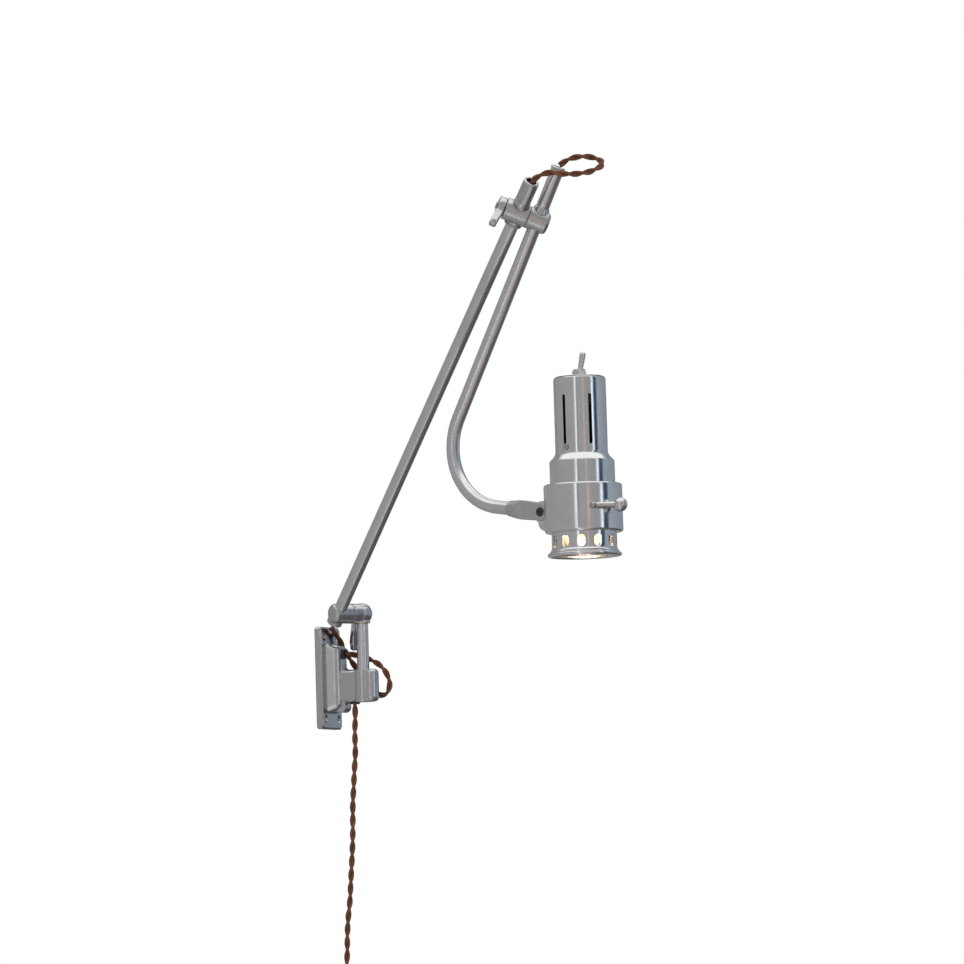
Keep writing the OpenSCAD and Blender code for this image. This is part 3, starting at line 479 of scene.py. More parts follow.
@dataclass(frozen=True)
class StudioTent(Finish):
    """A tent that only shows in reflections, toned by the turn and rise of each spot on it.

    Turns are in degrees to the right of the camera, and tones are what the strength multiplies.
    """

    name: str = "studio_tent"
    radius: float = 7.0
    strength: float = 2.0
    ceiling: Colour = grey(0.62)
    upper: tuple[tuple[float, Colour], ...] = (
        (-180.0, grey(0.15)), (-140.0, grey(0.18)), (-60.0, grey(0.21)), (-25.0, grey(0.21)),
        (-21.5, grey(0.80)), (-18.5, grey(0.80)), (-17.5, grey(0.04)), (-14.0, grey(0.04)),
        (-13.0, grey(0.21)), (11.5, grey(0.21)), (12.5, (0.45, 0.30, 0.22)), (14.5, (0.45, 0.30, 0.22)),
        (15.5, grey(0.21)), (48.0, grey(0.18)), (52.0, (0.68, 0.74, 0.80)), (56.0, (0.68, 0.74, 0.80)),
        (58.0, (0.015, 0.030, 0.050)), (71.0, (0.015, 0.030, 0.050)), (77.0, (0.20, 0.235, 0.27)),
        (100.0, (0.18, 0.205, 0.23)), (150.0, (0.14, 0.16, 0.18)), (180.0, grey(0.15)))
    lower: tuple[tuple[float, Colour], ...] = (
        (-180.0, grey(0.17)), (-60.0, grey(0.21)), (-22.0, grey(0.21)), (-20.0, grey(0.65)),
        (-12.0, grey(0.65)), (-10.0, grey(0.25)), (8.0, grey(0.225)), (10.0, (0.375, 0.26, 0.225)),
        (24.0, (0.30, 0.225, 0.20)), (30.0, grey(0.15)), (50.0, grey(0.07)), (165.0, grey(0.05)),
        (180.0, grey(0.17)))

    def dress(self, shader: Shader, at: bpy.types.NodeSocket) -> None:
        """Fills the shader in."""
        x, y, z = shader.split(at)
        turn = x.arctangent(0.0 - y) / (2.0 * math.pi) + 0.5
        rise = z / self.radius
        above, below = (shader.ramp(turn, [(degrees / 360.0 + 0.5, tone) for degrees, tone in stops])
                        for stops in (self.upper, self.lower))
        glow = shader.blend_colour(((rise + 0.31) * 5.9).clamped(), below, above)
        glow = shader.blend_colour(((rise - 0.66) * 9.0).clamped(), glow, self.ceiling)
        shader.finish(Base_Color=grey(0.0), Roughness=1.0, Specular_IOR_Level=0.0,
                      Emission_Color=glow, Emission_Strength=self.strength)


@dataclass
class Wardrobe:
    """Every finish's material, each made once."""

    made: dict[str, bpy.types.Material] = field(default_factory=dict)

    def get(self, finish: Finish) -> bpy.types.Material:
        """Gives a finish's material, building it the first time.

        Args:
            finish: Any finish of this script.

        Returns:
            Its material.
        """
        if finish.name not in self.made:
            self.made[finish.name] = finish.material()
        return self.made[finish.name]


CAST = CastMetal("polished_casting", (0.56, 0.565, 0.58), (0.45, 0.455, 0.47))
TUBE = PolishedMetal("polished_tube", (0.71, 0.71, 0.72), (0.58, 0.58, 0.59), 0.22, 0.09, 0.06,
                     grain=(1.0, 1.0, 0.06))
HEAD = PolishedMetal("polished_head", (0.72, 0.725, 0.74), (0.60, 0.605, 0.615), 0.13, 0.08, 0.05,
                     grain=(0.08, 0.08, 1.0))
STEEL = PolishedMetal("turned_steel", (0.52, 0.525, 0.54), (0.34, 0.33, 0.33), 0.26, 0.16, 0.1)
BLACKENED = PolishedMetal("blackened_steel", (0.10, 0.10, 0.11), (0.05, 0.05, 0.05), 0.34, 0.2, 0.1)
BRASS = PolishedMetal("turned_brass", (0.80, 0.60, 0.28), (0.52, 0.36, 0.16), 0.22, 0.14, 0.1)
RUBBER = Moulded("black_rubber", (0.018, 0.018, 0.018), (0.035, 0.034, 0.033), 0.62, 900.0, 0.00008)
FIBRE = Moulded("red_fibre", (0.24, 0.10, 0.06), (0.17, 0.075, 0.05), 0.7, 700.0, 0.00008)
PORCELAIN = Moulded("glazed_porcelain", (0.86, 0.84, 0.78), (0.80, 0.77, 0.69), 0.22, 300.0, 0.00002, 0.6)
PHENOLIC = Moulded("brown_phenolic", (0.060, 0.028, 0.016), (0.10, 0.045, 0.022), 0.3, 260.0, 0.00003, 0.3)
REFLECTOR = PolishedMetal("bright_reflector", (0.90, 0.90, 0.89), (0.82, 0.82, 0.80), 0.28, 0.12, 0.05)
FLEX = BraidedCloth()
WAXED = BraidedCloth("waxed_cord", (0.05, 0.04, 0.03), (0.15, 0.12, 0.09), (0.26, 0.22, 0.17), 5.0)
GLASS = LitGlass()

SLOT_FINISH = {
    "polished_casting": CAST, "polished_tube": TUBE, "steel": STEEL, "dark_screw": BLACKENED,
    "brass": BRASS, "rubber": RUBBER, "flex": FLEX, "fibre": FIBRE, "porcelain": PORCELAIN,
    "bakelite": PHENOLIC, "reflector": REFLECTOR, "opal_glass": GLASS,
}
WARDROBE = Wardrobe()
HEAD_NODES = ("lamp_housing", "perforated_mouth", "clamp_collar")


# Mesh helpers


def new_piece(name: str, mesh: bpy.types.Mesh, finish: Finish) -> bpy.types.Object:
    """Puts a mesh in the scene as a piece.

    Args:
        name: The piece's name.
        mesh: Its mesh, in the row frame.
        finish: Its finish.

    Returns:
        The new object.
    """
    piece = bpy.data.objects.new(name, mesh)
    bpy.context.scene.collection.objects.link(piece)
    mesh.materials.append(WARDROBE.get(finish))
    for face in mesh.polygons:
        face.use_smooth = True
    return piece


def millimetres(points: Iterable[Point]) -> list[Vector]:
    """Points in millimetres as vectors in metres."""
    return [Vector(point) * MM for point in points]


def smooth_route(points: Sequence[Vector], step: float) -> list[Vector]:
    """Rounds a route with a Catmull-Rom curve and spaces its points evenly.

    Args:
        points: The route's own points.
        step: The spacing that is wanted, in metres.

    Returns:
        Points along the curve, from the first route point to the last.
    """
    ends = [2 * points[0] - points[1], *points, 2 * points[-1] - points[-2]]
    fine: list[Vector] = []
    for a, b, c, d in zip(ends, ends[1:], ends[2:], ends[3:]):
        for k in range(SPLINE_STEPS):
            t = k / SPLINE_STEPS
            fine.append(0.5 * (2 * b + (c - a) * t + (2 * a - 5 * b + 4 * c - d) * t * t
                               + (3 * b - a - 3 * c + d) * t ** 3))
    fine.append(points[-1].copy())
    return even_spacing(fine, step)


def route_length(points: Sequence[Vector]) -> float:
    """The length of a line through points."""
    return sum((b - a).length for a, b in zip(points, points[1:]))


def even_spacing(points: Sequence[Vector], step: float) -> list[Vector]:
    """Spaces a line's points evenly.

    Args:
        points: The line.
        step: The spacing that is wanted.

    Returns:
        The respaced line.
    """
    total = route_length(points)
    count = max(2, round(total / step))
    gap = total / count
    spaced = [points[0].copy()]
    walked = 0.0
    for a, b in zip(points, points[1:]):
        span = (b - a).length
        while span > 0 and walked + span >= gap * len(spaced) - 1e-9 and len(spaced) < count:
            spaced.append(a.lerp(b, (gap * len(spaced) - walked) / span))
        walked += span
    spaced.append(points[-1].copy())
    return spaced


def carried_frames(line: Sequence[Vector]) -> list[tuple[Vector, Vector]]:
    """Two directions square to a line at each of its points, carried along without twist.

    Args:
        line: The line's points.

    Returns:
        A pair of unit vectors for each point.
    """
    frames: list[tuple[Vector, Vector]] = []
    last = None
    for i, _ in enumerate(line):
        ahead = (line[min(i + 1, len(line) - 1)] - line[max(i - 1, 0)]).normalized()
        guess = last if last is not None else ahead.orthogonal()
        side = (guess - guess.dot(ahead) * ahead).normalized()
        frames.append((side, ahead.cross(side)))
        last = side
    return frames


def circle_points(centre: Vector, side: Vector, up: Vector, radius: float, sides: int) -> list[Vector]:
    """Points evenly round a circle that lies across side and up."""
    turns = (2 * math.pi * k / sides for k in range(sides))
    return [centre + radius * (math.cos(t) * side + math.sin(t) * up) for t in turns]


def sweep(shape: bmesh.types.BMesh, line: Sequence[Vector], radius: float, sides: int,
          turn: float = 0.0, offset: float = 0.0, pitch: float = 1.0) -> None:
    """Adds a tube along a line, or round it as a helix, with UVs of turns and turns.

    Args:
        shape: The mesh being built.
        line: The centre line, evenly spaced.
        radius: The tube's radius.
        sides: Points round the tube.
        turn: Where round the line a helix starts, in radians.
        offset: The helix's radius, or 0 for a plain tube.
        pitch: Length of one turn of the helix.
    """
    uv = shape.loops.layers.uv.verify()
    walked = 0.0
    centres: list[Vector] = []
    for i, ((side, up), point) in enumerate(zip(carried_frames(line), line)):
        if i:
            walked += (point - line[i - 1]).length
        angle = turn + 2 * math.pi * walked / pitch
        centres.append(point + offset * (math.cos(angle) * side + math.sin(angle) * up))
    lengths = [0.0]
    for a, b in zip(centres, centres[1:]):
        lengths.append(lengths[-1] + (b - a).length)
    rings = [[shape.verts.new(spot) for spot in circle_points(centre, side, up, radius, sides)]
             for (side, up), centre in zip(carried_frames(centres), centres)]
    around = 2 * math.pi * radius
    for low, high, start, end in zip(rings, rings[1:], lengths, lengths[1:]):
        for k in range(sides):
            j = (k + 1) % sides
            face = shape.faces.new((low[k], low[j], high[j], high[k]))
            for loop, (u, v) in zip(face.loops, ((k, start), (k + 1, start), (k + 1, end), (k, end))):
                loop[uv].uv = (u / sides, v / around)
    shape.faces.new(list(reversed(rings[0])))
    shape.faces.new(rings[-1])


def mesh_from(shape: bmesh.types.BMesh, name: str) -> bpy.types.Mesh:
    """Turns a bmesh into a mesh and frees it.

    Args:
        shape: The bmesh.
        name: The mesh's name.

    Returns:
        The mesh.
    """
    bmesh.ops.recalc_face_normals(shape, faces=shape.faces)
    mesh = bpy.data.meshes.new(name)
    shape.to_mesh(mesh)
    shape.free()
    return mesh


def lathe(profile: Sequence[tuple[float, float]], sides: int, place: Matrix, name: str) -> bpy.types.Mesh:
    """Spins a profile about Z, then places it.

    Args:
        profile: Radius and height pairs, from the bottom up; a zero radius closes an end.
        sides: Points round.
        place: Where it goes in the row frame.
        name: The mesh's name.

    Returns:
        The mesh.
    """
    shape = bmesh.new()
    rings = []
    for r, z in profile:
        if r <= 0:
            rings.append([shape.verts.new(place @ Vector((0, 0, z)))])
        else:
            spots = circle_points(Vector((0, 0, z)), Vector((1, 0, 0)), Vector((0, 1, 0)), r, sides)
            rings.append([shape.verts.new(place @ spot) for spot in spots])
    for low, high in zip(rings, rings[1:]):
        for k in range(sides):
            j = (k + 1) % sides
            corners = [low[k % len(low)], low[j % len(low)], high[j % len(high)], high[k % len(high)]]
            unique = list(dict.fromkeys(corners))
            if len(unique) > 2:
                shape.faces.new(unique)
    bmesh.ops.remove_doubles(shape, verts=shape.verts, dist=WELD)
    return mesh_from(shape, name)


def axis_frame(origin: Vector, up: Vector, ahead: Vector) -> Matrix:
    """A placement with Z along up and Y as near to ahead as it can be.

    Args:
        origin: Its origin.
        up: The direction of Z.
        ahead: The wanted direction of Y.

    Returns:
        The matrix.
    """
    z = up.normalized()
    y = (ahead - ahead.dot(z) * z).normalized()
    x = y.cross(z)
    return Matrix.Translation(origin) @ Matrix((x, y, z)).transposed().to_4x4()


def box_middle(node: str) -> Vector:
    """The middle of a node's box."""
    low, high = (Vector(corner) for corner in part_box(node))
    return (low + high) / 2


def joint(name: str) -> dict:
    """The record's joint of that name."""
    return next(j for j in frame["joints"] if j["name"] == name)


# Camera and light


@dataclass
class Studio:
    """The camera, the pale floor, the soft lights, and the tent that the metal mirrors.

    Each softbox has a name, its turn and rise in degrees, its power in watts and its width.
    """

    azimuth: float = -66.1
    elevation: float = -5.2
    roll: float = 1.7
    distance: float = 5.014
    lens: float = 179.0
    aim: Point = (-0.0437, -0.2090, 0.1945)
    sensor: float = 36.0
    sight: float = 60.0
    floor_drop: float = 0.1
    floor_half: float = 12.0
    box_away: float = 3.2
    softboxes: tuple[tuple[str, float, float, float, float], ...] = (
        ("key", -45.0, 50.0, 60.0, 1.6), ("fill", 60.0, 25.0, 22.0, 1.4))

    def towards(self, turn: float, rise: float = 0.0) -> Vector:
        """A direction, turned to the right of the camera as the lamp sees it.

        Args:
            turn: Degrees to the right.
            rise: Degrees above the horizon.

        Returns:
            The unit vector.
        """
        a = math.radians(self.azimuth + turn)
        e = math.radians(rise)
        return Vector((math.sin(a) * math.cos(e), -math.cos(a) * math.cos(e), math.sin(e)))

    def camera(self) -> None:
        """Sets the camera up."""
        data = bpy.data.cameras.new("camera")
        data.lens = self.lens
        data.sensor_width = self.sensor
        data.clip_end = self.sight
        back = self.towards(0.0, self.elevation)
        right = Vector((-back.y, back.x, 0.0)).normalized()
        up = back.cross(right)
        lean = math.radians(self.roll)
        x = right * math.cos(lean) - up * math.sin(lean)
        y = right * math.sin(lean) + up * math.cos(lean)
        body = bpy.data.objects.new("camera", data)
        turn = Matrix((x, y, back)).transposed().to_4x4()
        body.matrix_world = Matrix.Translation(Vector(self.aim) + self.distance * back) @ turn
        bpy.context.scene.collection.objects.link(body)
        bpy.context.scene.camera = body
        LOG.info("camera at %s", [round(v, 3) for v in body.matrix_world.translation])

    def floor(self) -> None:
        """Lays the floor under the lowest piece."""
        shape = bmesh.new()
        bmesh.ops.create_grid(shape, x_segments=8, y_segments=8, size=self.floor_half)
        mesh = mesh_from(shape, "studio_floor")
        piece = new_piece("studio_floor", mesh, StudioPaper())
        piece.location.z = CAD_BOX[0][2] - self.floor_drop
        piece.visible_glossy = False

    def tent(self) -> None:
        """Pitches the tent that the metal mirrors."""
        finish = StudioTent()
        shape = bmesh.new()
        bmesh.ops.create_uvsphere(shape, u_segments=96, v_segments=48, radius=finish.radius)
        piece = new_piece(finish.name, mesh_from(shape, finish.name), finish)
        piece.location = Vector(self.aim)
        piece.rotation_euler.z = math.radians(self.azimuth)
        for rays in ("camera", "diffuse", "shadow", "transmission", "volume_scatter"):
            setattr(piece, f"visible_{rays}", False)
        piece.active_material.cycles.emission_sampling = "NONE"

    def lights(self) -> None:
        """Sets the white room, the soft lights and the tent."""
        world = bpy.data.worlds.new("white_room")
        world.use_nodes = True
        world.node_tree.nodes["Background"].inputs[0].default_value = (1.0, 1.0, 1.0, 1.0)
        world.node_tree.nodes["Background"].inputs[1].default_value = 1.0
        bpy.context.scene.world = world
        bpy.context.scene.view_settings.view_transform = "Standard"
        self.tent()
        for name, turn, rise, power, size in self.softboxes:
            data = bpy.data.lights.new(name, "AREA")
            data.energy = power
            data.size = size
            lamp = bpy.data.objects.new(name, data)
            spot = self.towards(turn, rise)
            lamp.matrix_world = axis_frame(Vector(self.aim) + spot * self.box_away, spot, Vector((0, 0, 1)))
            lamp.visible_camera = False
            lamp.visible_glossy = False
            bpy.context.scene.collection.objects.link(lamp)
        LOG.info("studio lit")


# Flex


@dataclass
class TwistedFlex:
    """Two cloth-covered cores twisted together."""

    diameter: float = 6.4 * MM
    pitch: float = 29.0 * MM
    ring: float = 1.15 * MM
    sides: int = 10
    swell: float = 0.03 * MM
    press: float = 0.06 * MM

    def mesh(self, name: str, line: Sequence[Vector], start: float = 0.0) -> bpy.types.Mesh:
        """Builds the pair along a line.

        Args:
            name: The mesh's name.
            line: The centre line, evenly spaced.
            start: Length already walked, so that pieces of one flex carry on.

        Returns:
            The mesh.
        """
        shape = bmesh.new()
        core = self.diameter / 4 + self.swell
        for k in (0, 1):
            phase = math.pi * k + 2 * math.pi * start / self.pitch
            sweep(shape, line, core, self.sides, phase, core - self.press, self.pitch)
        return mesh_from(shape, name)


@dataclass
class FlexRoutes:
    """The routes of the three free runs of flex, in millimetres, and the hank's folds."""

    top_loop: tuple[Point, ...] = (
        (-256, -367, 470.6), (-258, -376, 475), (-253, -385, 478), (-245, -396, 477),
        (-237, -408, 477), (-227, -420, 480), (-218, -428, 487), (-214, -421, 494),
        (-219, -407, 497), (-227, -396, 494), (-233, -388, 488))
    service_loop: tuple[Point, ...] = (
        (-17, -19, 56), (-8, -13, 52), (2, -11, 48), (11, -12, 42), (17, -14, 33), (19, -21, 20),
        (19.5, -31, 6), (19.5, -42, -9), (18, -54, -19), (16, -64, -18), (14, -69, -9), (13, -67, 1),
        (12.5, -61, 10), (12, -52, 16.5), (11, -43, 20.5), (7, -34, 23.5), (2, -28, 25), (0, -24.5, 25))
    supply: tuple[Point, ...] = (
        (0, -34, -28), (0, -34, -42), (0, -33, -60), (2, -32, -80), (3, -30, -98), (4, -28, -116),
        (5, -26, -134), (6, -25, -150), (7, -24, -166), (9, -22, -184), (10, -20, -202),
        (11, -18, -220), (12, -16, -238), (13, -13, -256), (14, -11, -274), (15, -10, -290),
        (15, -9, -305), (15, -9, -320))
    entry: tuple[Point, ...] = (
        (15, -9, -334), (14.6, -9.5, -341), (12, -9.5, -352), (3, -9.5, -368), (-3.4, -9.5, -382),
        (-4.4, -9.5, -395))
    tail: tuple[Point, ...] = (
        (-4.4, -36.5, -366), (-4.2, -37, -385), (-1, -38, -405), (6, -38.5, -425),
        (12.5, -38.5, -445), (15, -38.5, -462), (15, -38.5, -475), (15, -38.5, -487))
    hank_turns: int = 4
    hank_fold: float = 19.4
    hank_straight: float = 105.8
    hank_top: Point = (-4.4, -9.5, -356.6)
    hank_layer: float = 6.6
    turn_steps: int = 36
    entry_steps: int = 6

    def hank(self) -> list[Point]:
        """The hank's centre line: turns down, round, up and over, each in front of the last."""
        x, y, z = self.hank_top
        points: list[Point] = list(self.entry)
        for i in range(self.entry_steps, self.hank_turns * self.turn_steps + 1):
            turns = i / self.turn_steps
            dx, dz = self._stadium(turns % 1.0)
            points.append((x + dx, y - self.hank_layer * turns, z + dz))
        return [*points, *self.tail]

    def _stadium(self, share: float) -> tuple[float, float]:
        """A point on a tall oval, from the top of its left side downwards.

        Args:
            share: How far round, from 0 to 1.

        Returns:
            Sideways and upwards offsets from the top of the left side.
        """
        r = self.hank_fold
        straight = self.hank_straight
        bend = math.pi * r
        walked = share * 2 * (straight + bend)
        if walked < straight:
            return 0.0, -walked
        if walked < straight + bend:
            a = (walked - straight) / r
            return r - r * math.cos(a), -straight - r * math.sin(a)
        if walked < 2 * straight + bend:
            return 2 * r, -straight + (walked - straight - bend)
        a = (walked - 2 * straight - bend) / r
        return r + r * math.cos(a), r * math.sin(a)


@dataclass
class FlexWork:
    """Lays the flex: the loop at the elbow, the loop at the knuckle and the supply lead."""

    flex: TwistedFlex = field(default_factory=TwistedFlex)
    routes: FlexRoutes = field(default_factory=FlexRoutes)

    def split_run(self, name: str, points: Sequence[Point], shares: Sequence[float], replaced: str) -> None:
        """Lays one run in lengths, cut at the given shares of its length.

        Args:
            name: The run's name.
            points: Its route, in millimetres.
            shares: Where it is cut, as shares of its length.
            replaced: The CAD node that it stands for.
        """
        line = smooth_route(millimetres(points), self.flex.ring)
        last = len(line) - 1
        cuts = [0, *(round(share * last) for share in shares), last]
        for i, (low, high) in enumerate(zip(cuts, cuts[1:])):
            part = line[low:high + 1]
            label = f"{name}_{i + 1}"
            mesh = self.flex.mesh(label, part, route_length(line[:low + 1]))
            piece = new_piece(label, mesh, FLEX)
            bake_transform(piece)
            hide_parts(replaced)
            route_length(part)
            LOG.info("%s: %.0f mm of flex", label, route_length(part) / MM)

    def build(self) -> None:
        """Lays all three runs."""
        self.split_run("top_loop", self.routes.top_loop, (0.335, 0.665), "top_loop_flex")
        self.split_run("service_loop", self.routes.service_loop, (0.33,), "service_loop_flex")
        self.supply_lead()

    def supply_lead(self) -> None:
        """Lays the supply lead, its hank, tie and plug."""
        route = millimetres([*self.routes.supply, *self.routes.hank()])
        line = smooth_route(route, self.flex.ring)
        piece = new_piece("supply_lead", self.flex.mesh("supply_lead", line), FLEX)
        tie = HankTie().build()
        plug = PlugTop().build()
        for other in (piece, tie, plug):
            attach(other, "bracket")
        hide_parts("mains_flex", "mains_hank")
        route_length(line)
        LOG.info("supply_lead: %.0f mm of flex", route_length(line) / MM)


@dataclass
class HankTie:
    """A waxed cord wound three times round the hank's waist."""

    cord_r: float = 1.3 * MM
    corner: float = 7 * MM
    corner_steps: int = 6
    spacing: float = 2.7 * MM
    step: float = 1.5 * MM
    sides: int = 8

    def build(self) -> bpy.types.Object:
        """Winds the cord inside the CAD tie's box.

        Returns:
            The tie.
        """
        low, high = (Vector(corner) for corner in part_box("hank_tie"))
        middle = (low + high) / 2
        half_x = (high.x - low.x) / 2 - self.cord_r - self.corner
        half_y = (high.y - low.y) / 2 - self.cord_r - self.corner
        shape = bmesh.new()
        for level in (-1, 0, 1):
            loop = []
            for quarter, (sx, sy) in enumerate(((1, 1), (-1, 1), (-1, -1), (1, -1))):
                for k in range(self.corner_steps + 1):
                    a = math.pi / 2 * (quarter + k / self.corner_steps)
                    out = Vector((sx * half_x, sy * half_y, level * self.spacing))
                    loop.append(middle + out + self.corner * Vector((math.cos(a), math.sin(a), 0.0)))
            sweep(shape, even_spacing([*loop, loop[0]], self.step), self.cord_r, self.sides)
        piece = new_piece("hank_tie_cord", mesh_from(shape, "hank_tie_cord"), WAXED)
        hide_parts("hank_tie")
        LOG.info("hank_tie_cord wound")
        return piece


@dataclass
class PlugTop:
    """A plain round two-pin plug with a ribbed grip."""

    body_r: float = 12.4 * MM
    neck_r: float = 4.6 * MM
    chamfer: float = 1.0 * MM
    rib_low: float = 3.0 * MM
    rib_deep: float = 0.6 * MM
    rib_step: float = 1.2 * MM
    rows: int = 13
    shoulder: float = 20.0 * MM
    lip_tall: float = 1.5 * MM
    lip_in: float = 0.7 * MM
    sides: int = 48

    def build(self) -> bpy.types.Object:
        """Turns the plug's body.

        Returns:
            The plug.
        """
        low, high = (Vector(corner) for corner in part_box("plug_body"))
        middle = (low + high) / 2
        tall = high.z - low.z
        profile = [(0.0, 0.0), (self.body_r - self.chamfer, 0.0), (self.body_r, self.chamfer)]
        profile += [(self.body_r - self.rib_deep * (k % 2), self.rib_low + self.rib_step * k)
                    for k in range(self.rows)]
        for k in range(self.rows):
            t = k / (self.rows - 1)
            ease = t * t * (3 - 2 * t)
            profile.append((self.body_r + (self.neck_r - self.body_r) * ease,
                            self.shoulder + (tall - self.shoulder - self.lip_tall) * t))
        profile += [(self.neck_r - self.lip_in, tall), (0.0, tall)]
        place = Matrix.Translation(Vector((middle.x, middle.y, low.z)))
        piece = new_piece("plug_shell", lathe(profile, self.sides, place, "plug_shell"), PHENOLIC)
        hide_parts("plug_body")
        LOG.info("plug_shell turned, %.0f mm tall", tall / MM)
        return piece


# Levers


@dataclass
class LockLever:
    """A cast locking lever: a domed hub and a blade that widens to a rounded tip.

    The crown's pairs are a share of the outline and how high the face stands there.
    """

    node: str
    joint_name: str
    body: str
    hub_r: float
    thick: float = 7.6 * MM
    waist: float = 6.2 * MM
    tip: float = 9.4 * MM
    flare: float = 1.3
    root: float = 0.2
    sides: int = 72
    samples: int = 40
    crown: tuple[tuple[float, float], ...] = (
        (1.0, 0.62), (0.985, 0.80), (0.95, 0.93), (0.88, 1.0), (0.6, 1.0), (0.3, 1.0))

    def build(self) -> bpy.types.Object:
        """Lofts the lever over its CAD solid, with the same reach and crank.

        Returns:
            The lever.
        """
        pin = joint(self.joint_name)
        axis = Vector(pin["axis"]).normalized()
        pivot = Vector(pin["pos_m"])
        points = [Vector(v.co) - pivot for v in frame["nodes"][self.node].data.vertices]
        spots = [(p.dot(axis), p - p.dot(axis) * axis) for p in points]
        reach = max(out.length for _, out in spots)
        hub = [height for height, out in spots if out.length < self.hub_r + 0.2 * MM]
        blade_end = [(height, out) for height, out in spots if out.length > reach - self.tip / 2]
        middle = (min(hub) + max(hub)) / 2
        crank = sum(height for height, _ in blade_end) / len(blade_end) - middle
        ahead = sum((out for _, out in blade_end), Vector())
        place = axis_frame(pivot + axis * middle, axis, ahead)
        shape = bmesh.new()
        rims = [self._skin(shape, place, side, reach, crank) for side in (-1, 1)]
        count = len(rims[0])
        for k in range(count):
            j = (k + 1) % count
            shape.faces.new((rims[0][k], rims[0][j], rims[1][j], rims[1][k]))
        mesh = mesh_from(shape, f"{self.node}_casting")
        piece = new_piece(f"{self.node}_casting", mesh, CAST)
        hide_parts(self.node)
        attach(piece, self.body)
        LOG.info("%s shaped, cranked %.1f mm", piece.name, crank / MM)
        return piece

    def outline(self, reach: float) -> list[tuple[float, float]]:
        """The lever's outline, as sideways and outward distances from the pivot.

        Args:
            reach: Distance from the pivot to the blade's end.

        Returns:
            Points all round.
        """
        points: list[tuple[float, float]] = []
        tip_r = self.tip / 2
        for k in range(self.sides):
            a = 2 * math.pi * k / self.sides
            ray = Vector((math.sin(a), math.cos(a)))
            far = self.hub_r
            for j in range(self.samples + 1):
                y = j / self.samples * (reach - tip_r)
                share = y / (reach - tip_r)
                r = self.waist / 2 + (tip_r - self.waist / 2) * share ** self.flare
                along = y * ray.y
                off = y * ray.x
                if along > 0 and r > abs(off):
                    far = max(far, along + math.sqrt(r * r - off * off))
            points.append((ray.x * far, ray.y * far))
        return points

    def _skin(self, shape: bmesh.types.BMesh, place: Matrix, side: int, reach: float,
              crank: float) -> list[bmesh.types.BMVert]:
        """Adds one crowned face.

        Args:
            shape: The mesh being built.
            place: Where the lever goes.
            side: 1 for the outer face, -1 for the inner one.
            reach: Distance from the pivot to the blade's end.
            crank: How far the blade's end stands off the hub's plane.

        Returns:
            The corners of the face's rim.
        """
        outline = self.outline(reach)
        half = self.thick / 2
        root = self.root * reach
        rows = []
        for share, lift in self.crown:
            row = []
            for x, y in outline:
                bent = crank * min(1.0, max(0.0, (y * share - root) / (reach - self.tip / 2 - root)))
                corner = Vector((x * share, y * share, half * lift * side + bent))
                row.append(shape.verts.new(place @ corner))
            rows.append(row)
        centre = shape.verts.new(place @ Vector((0.0, 0.0, half * side)))
        count = len(outline)
        for a, b in zip(rows, rows[1:]):
            for k in range(count):
                shape.faces.new((a[k], a[(k + 1) % count], b[(k + 1) % count], b[k]))
        for k in range(count):
            shape.faces.new((rows[-1][k], rows[-1][(k + 1) % count], centre))
        return rows[0]


# Castings and head


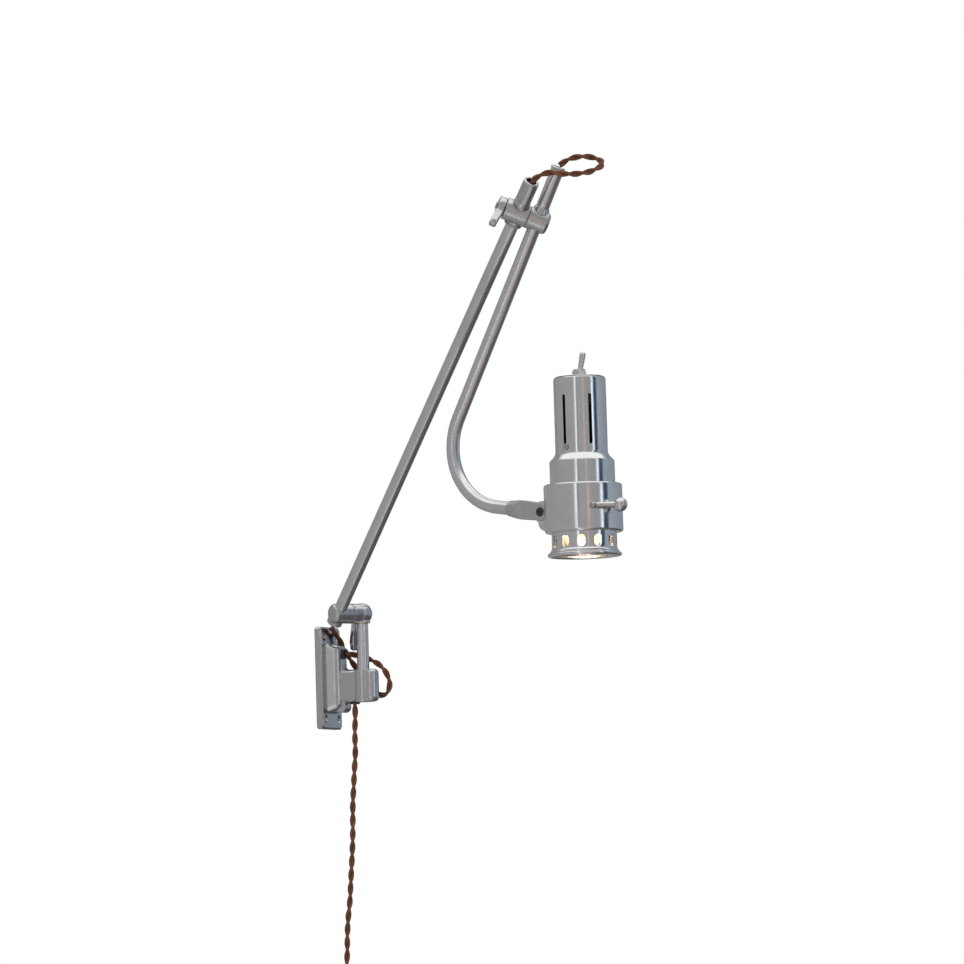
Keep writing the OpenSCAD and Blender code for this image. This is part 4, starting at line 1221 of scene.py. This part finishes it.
@dataclass
class FrameDressing:
    """Gives each node of the frame its finish, and the tubes their rolled rims."""

    # radius round the bulb's axis inside which the housing gets painted shade
    inner_shade_r: float = 25.4 * MM
    cap_skin: float = 0.8 * MM
    rim_tall: float = 3.0 * MM
    rim_proud: float = 0.7 * MM
    rim_round: float = 0.15
    rim_inset: float = 0.2 * MM
    rim_sides: int = 48
    mouth_band: float = 0.05 * MM

    def build(self) -> None:
        """Dresses every node by its slot."""
        slots = {part["node"]: part["material_slot"] for part in frame["record"]["subparts"]}
        middle = box_middle("bulb_glass")
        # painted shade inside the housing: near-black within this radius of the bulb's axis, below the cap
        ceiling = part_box("lamp_housing")[1][2] - self.cap_skin
        hollow = (middle.x, middle.y, self.inner_shade_r, ceiling)
        housing_shaded_inside = replace(HEAD, name="polished_housing_painted_shade", hollow=hollow)
        for name, piece in frame["nodes"].items():
            finish = HEAD if name in HEAD_NODES else SLOT_FINISH[slots[name]]
            finish = housing_shaded_inside if name == "lamp_housing" else finish
            piece.data.materials.clear()
            piece.data.materials.append(WARDROBE.get(finish))
            LOG.info("%s dressed as %s", name, finish.name)
        self.rim("lower_tube", "elbow_slide", "lower_arm")
        self.rim("upper_tube", "stem_turn", "hooked_arm")

    def rim(self, node: str, joint_name: str, body: str) -> None:
        """Rolls a rim round the open top of a tube.

        Args:
            node: The tube's node.
            joint_name: A joint whose axis runs along the tube.
            body: The body that the tube belongs to.
        """
        axis = Vector(joint(joint_name)["axis"]).normalized()
        axis = axis if axis.z > 0 else -axis
        points = [Vector(v.co) for v in frame["nodes"][node].data.vertices]
        top = max(point.dot(axis) for point in points)
        mouth = [point for point in points if top - point.dot(axis) < self.mouth_band]
        centre = sum(mouth, Vector()) / len(mouth)
        bore = min((point - centre).length for point in mouth)
        r = max((point - centre).length for point in mouth)
        wide = r + self.rim_proud
        tall, half, soft = self.rim_tall, self.rim_tall / 2, self.rim_tall * self.rim_round
        profile = [(bore, -half), (r, -tall), (wide - self.rim_inset, soft - tall), (wide, -half),
                   (wide - self.rim_inset, -soft), (r, 0.0), (bore, 0.0), (bore, -half)]
        place = axis_frame(centre, axis, axis.orthogonal())
        piece = new_piece(f"{node}_rim", lathe(profile, self.rim_sides, place, f"{node}_rim"), TUBE)
        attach(piece, body)
        LOG.info("%s_rim rolled", node)


@dataclass
class LampGlow:
    """The light that the lit bulb throws out of the mouth and the light holes."""

    energy: float = 0.10
    warm: Colour = (1.0, 0.66, 0.36)
    spread: float = 12 * MM
    below: float = 6 * MM

    def build(self) -> None:
        """Puts a small warm light below the bulb, held by the lamp head."""
        data = bpy.data.lights.new("bulb_glow", "POINT")
        data.energy = self.energy
        data.color = self.warm
        data.shadow_soft_size = self.spread
        glow = bpy.data.objects.new("bulb_glow", data)
        glow.location = box_middle("bulb_glass")
        glow.location.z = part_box("bulb_glass")[0][2] - self.below
        glow.parent = frame["nodes"]["bulb_glass"]
        bpy.context.scene.collection.objects.link(glow)
        LOG.info("bulb glows")


def main() -> None:
    """Builds the scene in order and reports each piece."""
    studio = Studio()
    studio.camera()
    FlexWork().build()
    FrameDressing().build()
    LockLever("swing_lock_lever", "swing_lever_turn", "swing_lever", 5.2 * MM).build()
    LockLever("elbow_lock_lever", "elbow_lever_turn", "elbow_lever", 10.1 * MM).build()
    LampGlow().build()
    studio.floor()
    studio.lights()


if __name__ == "__main__":
    main()
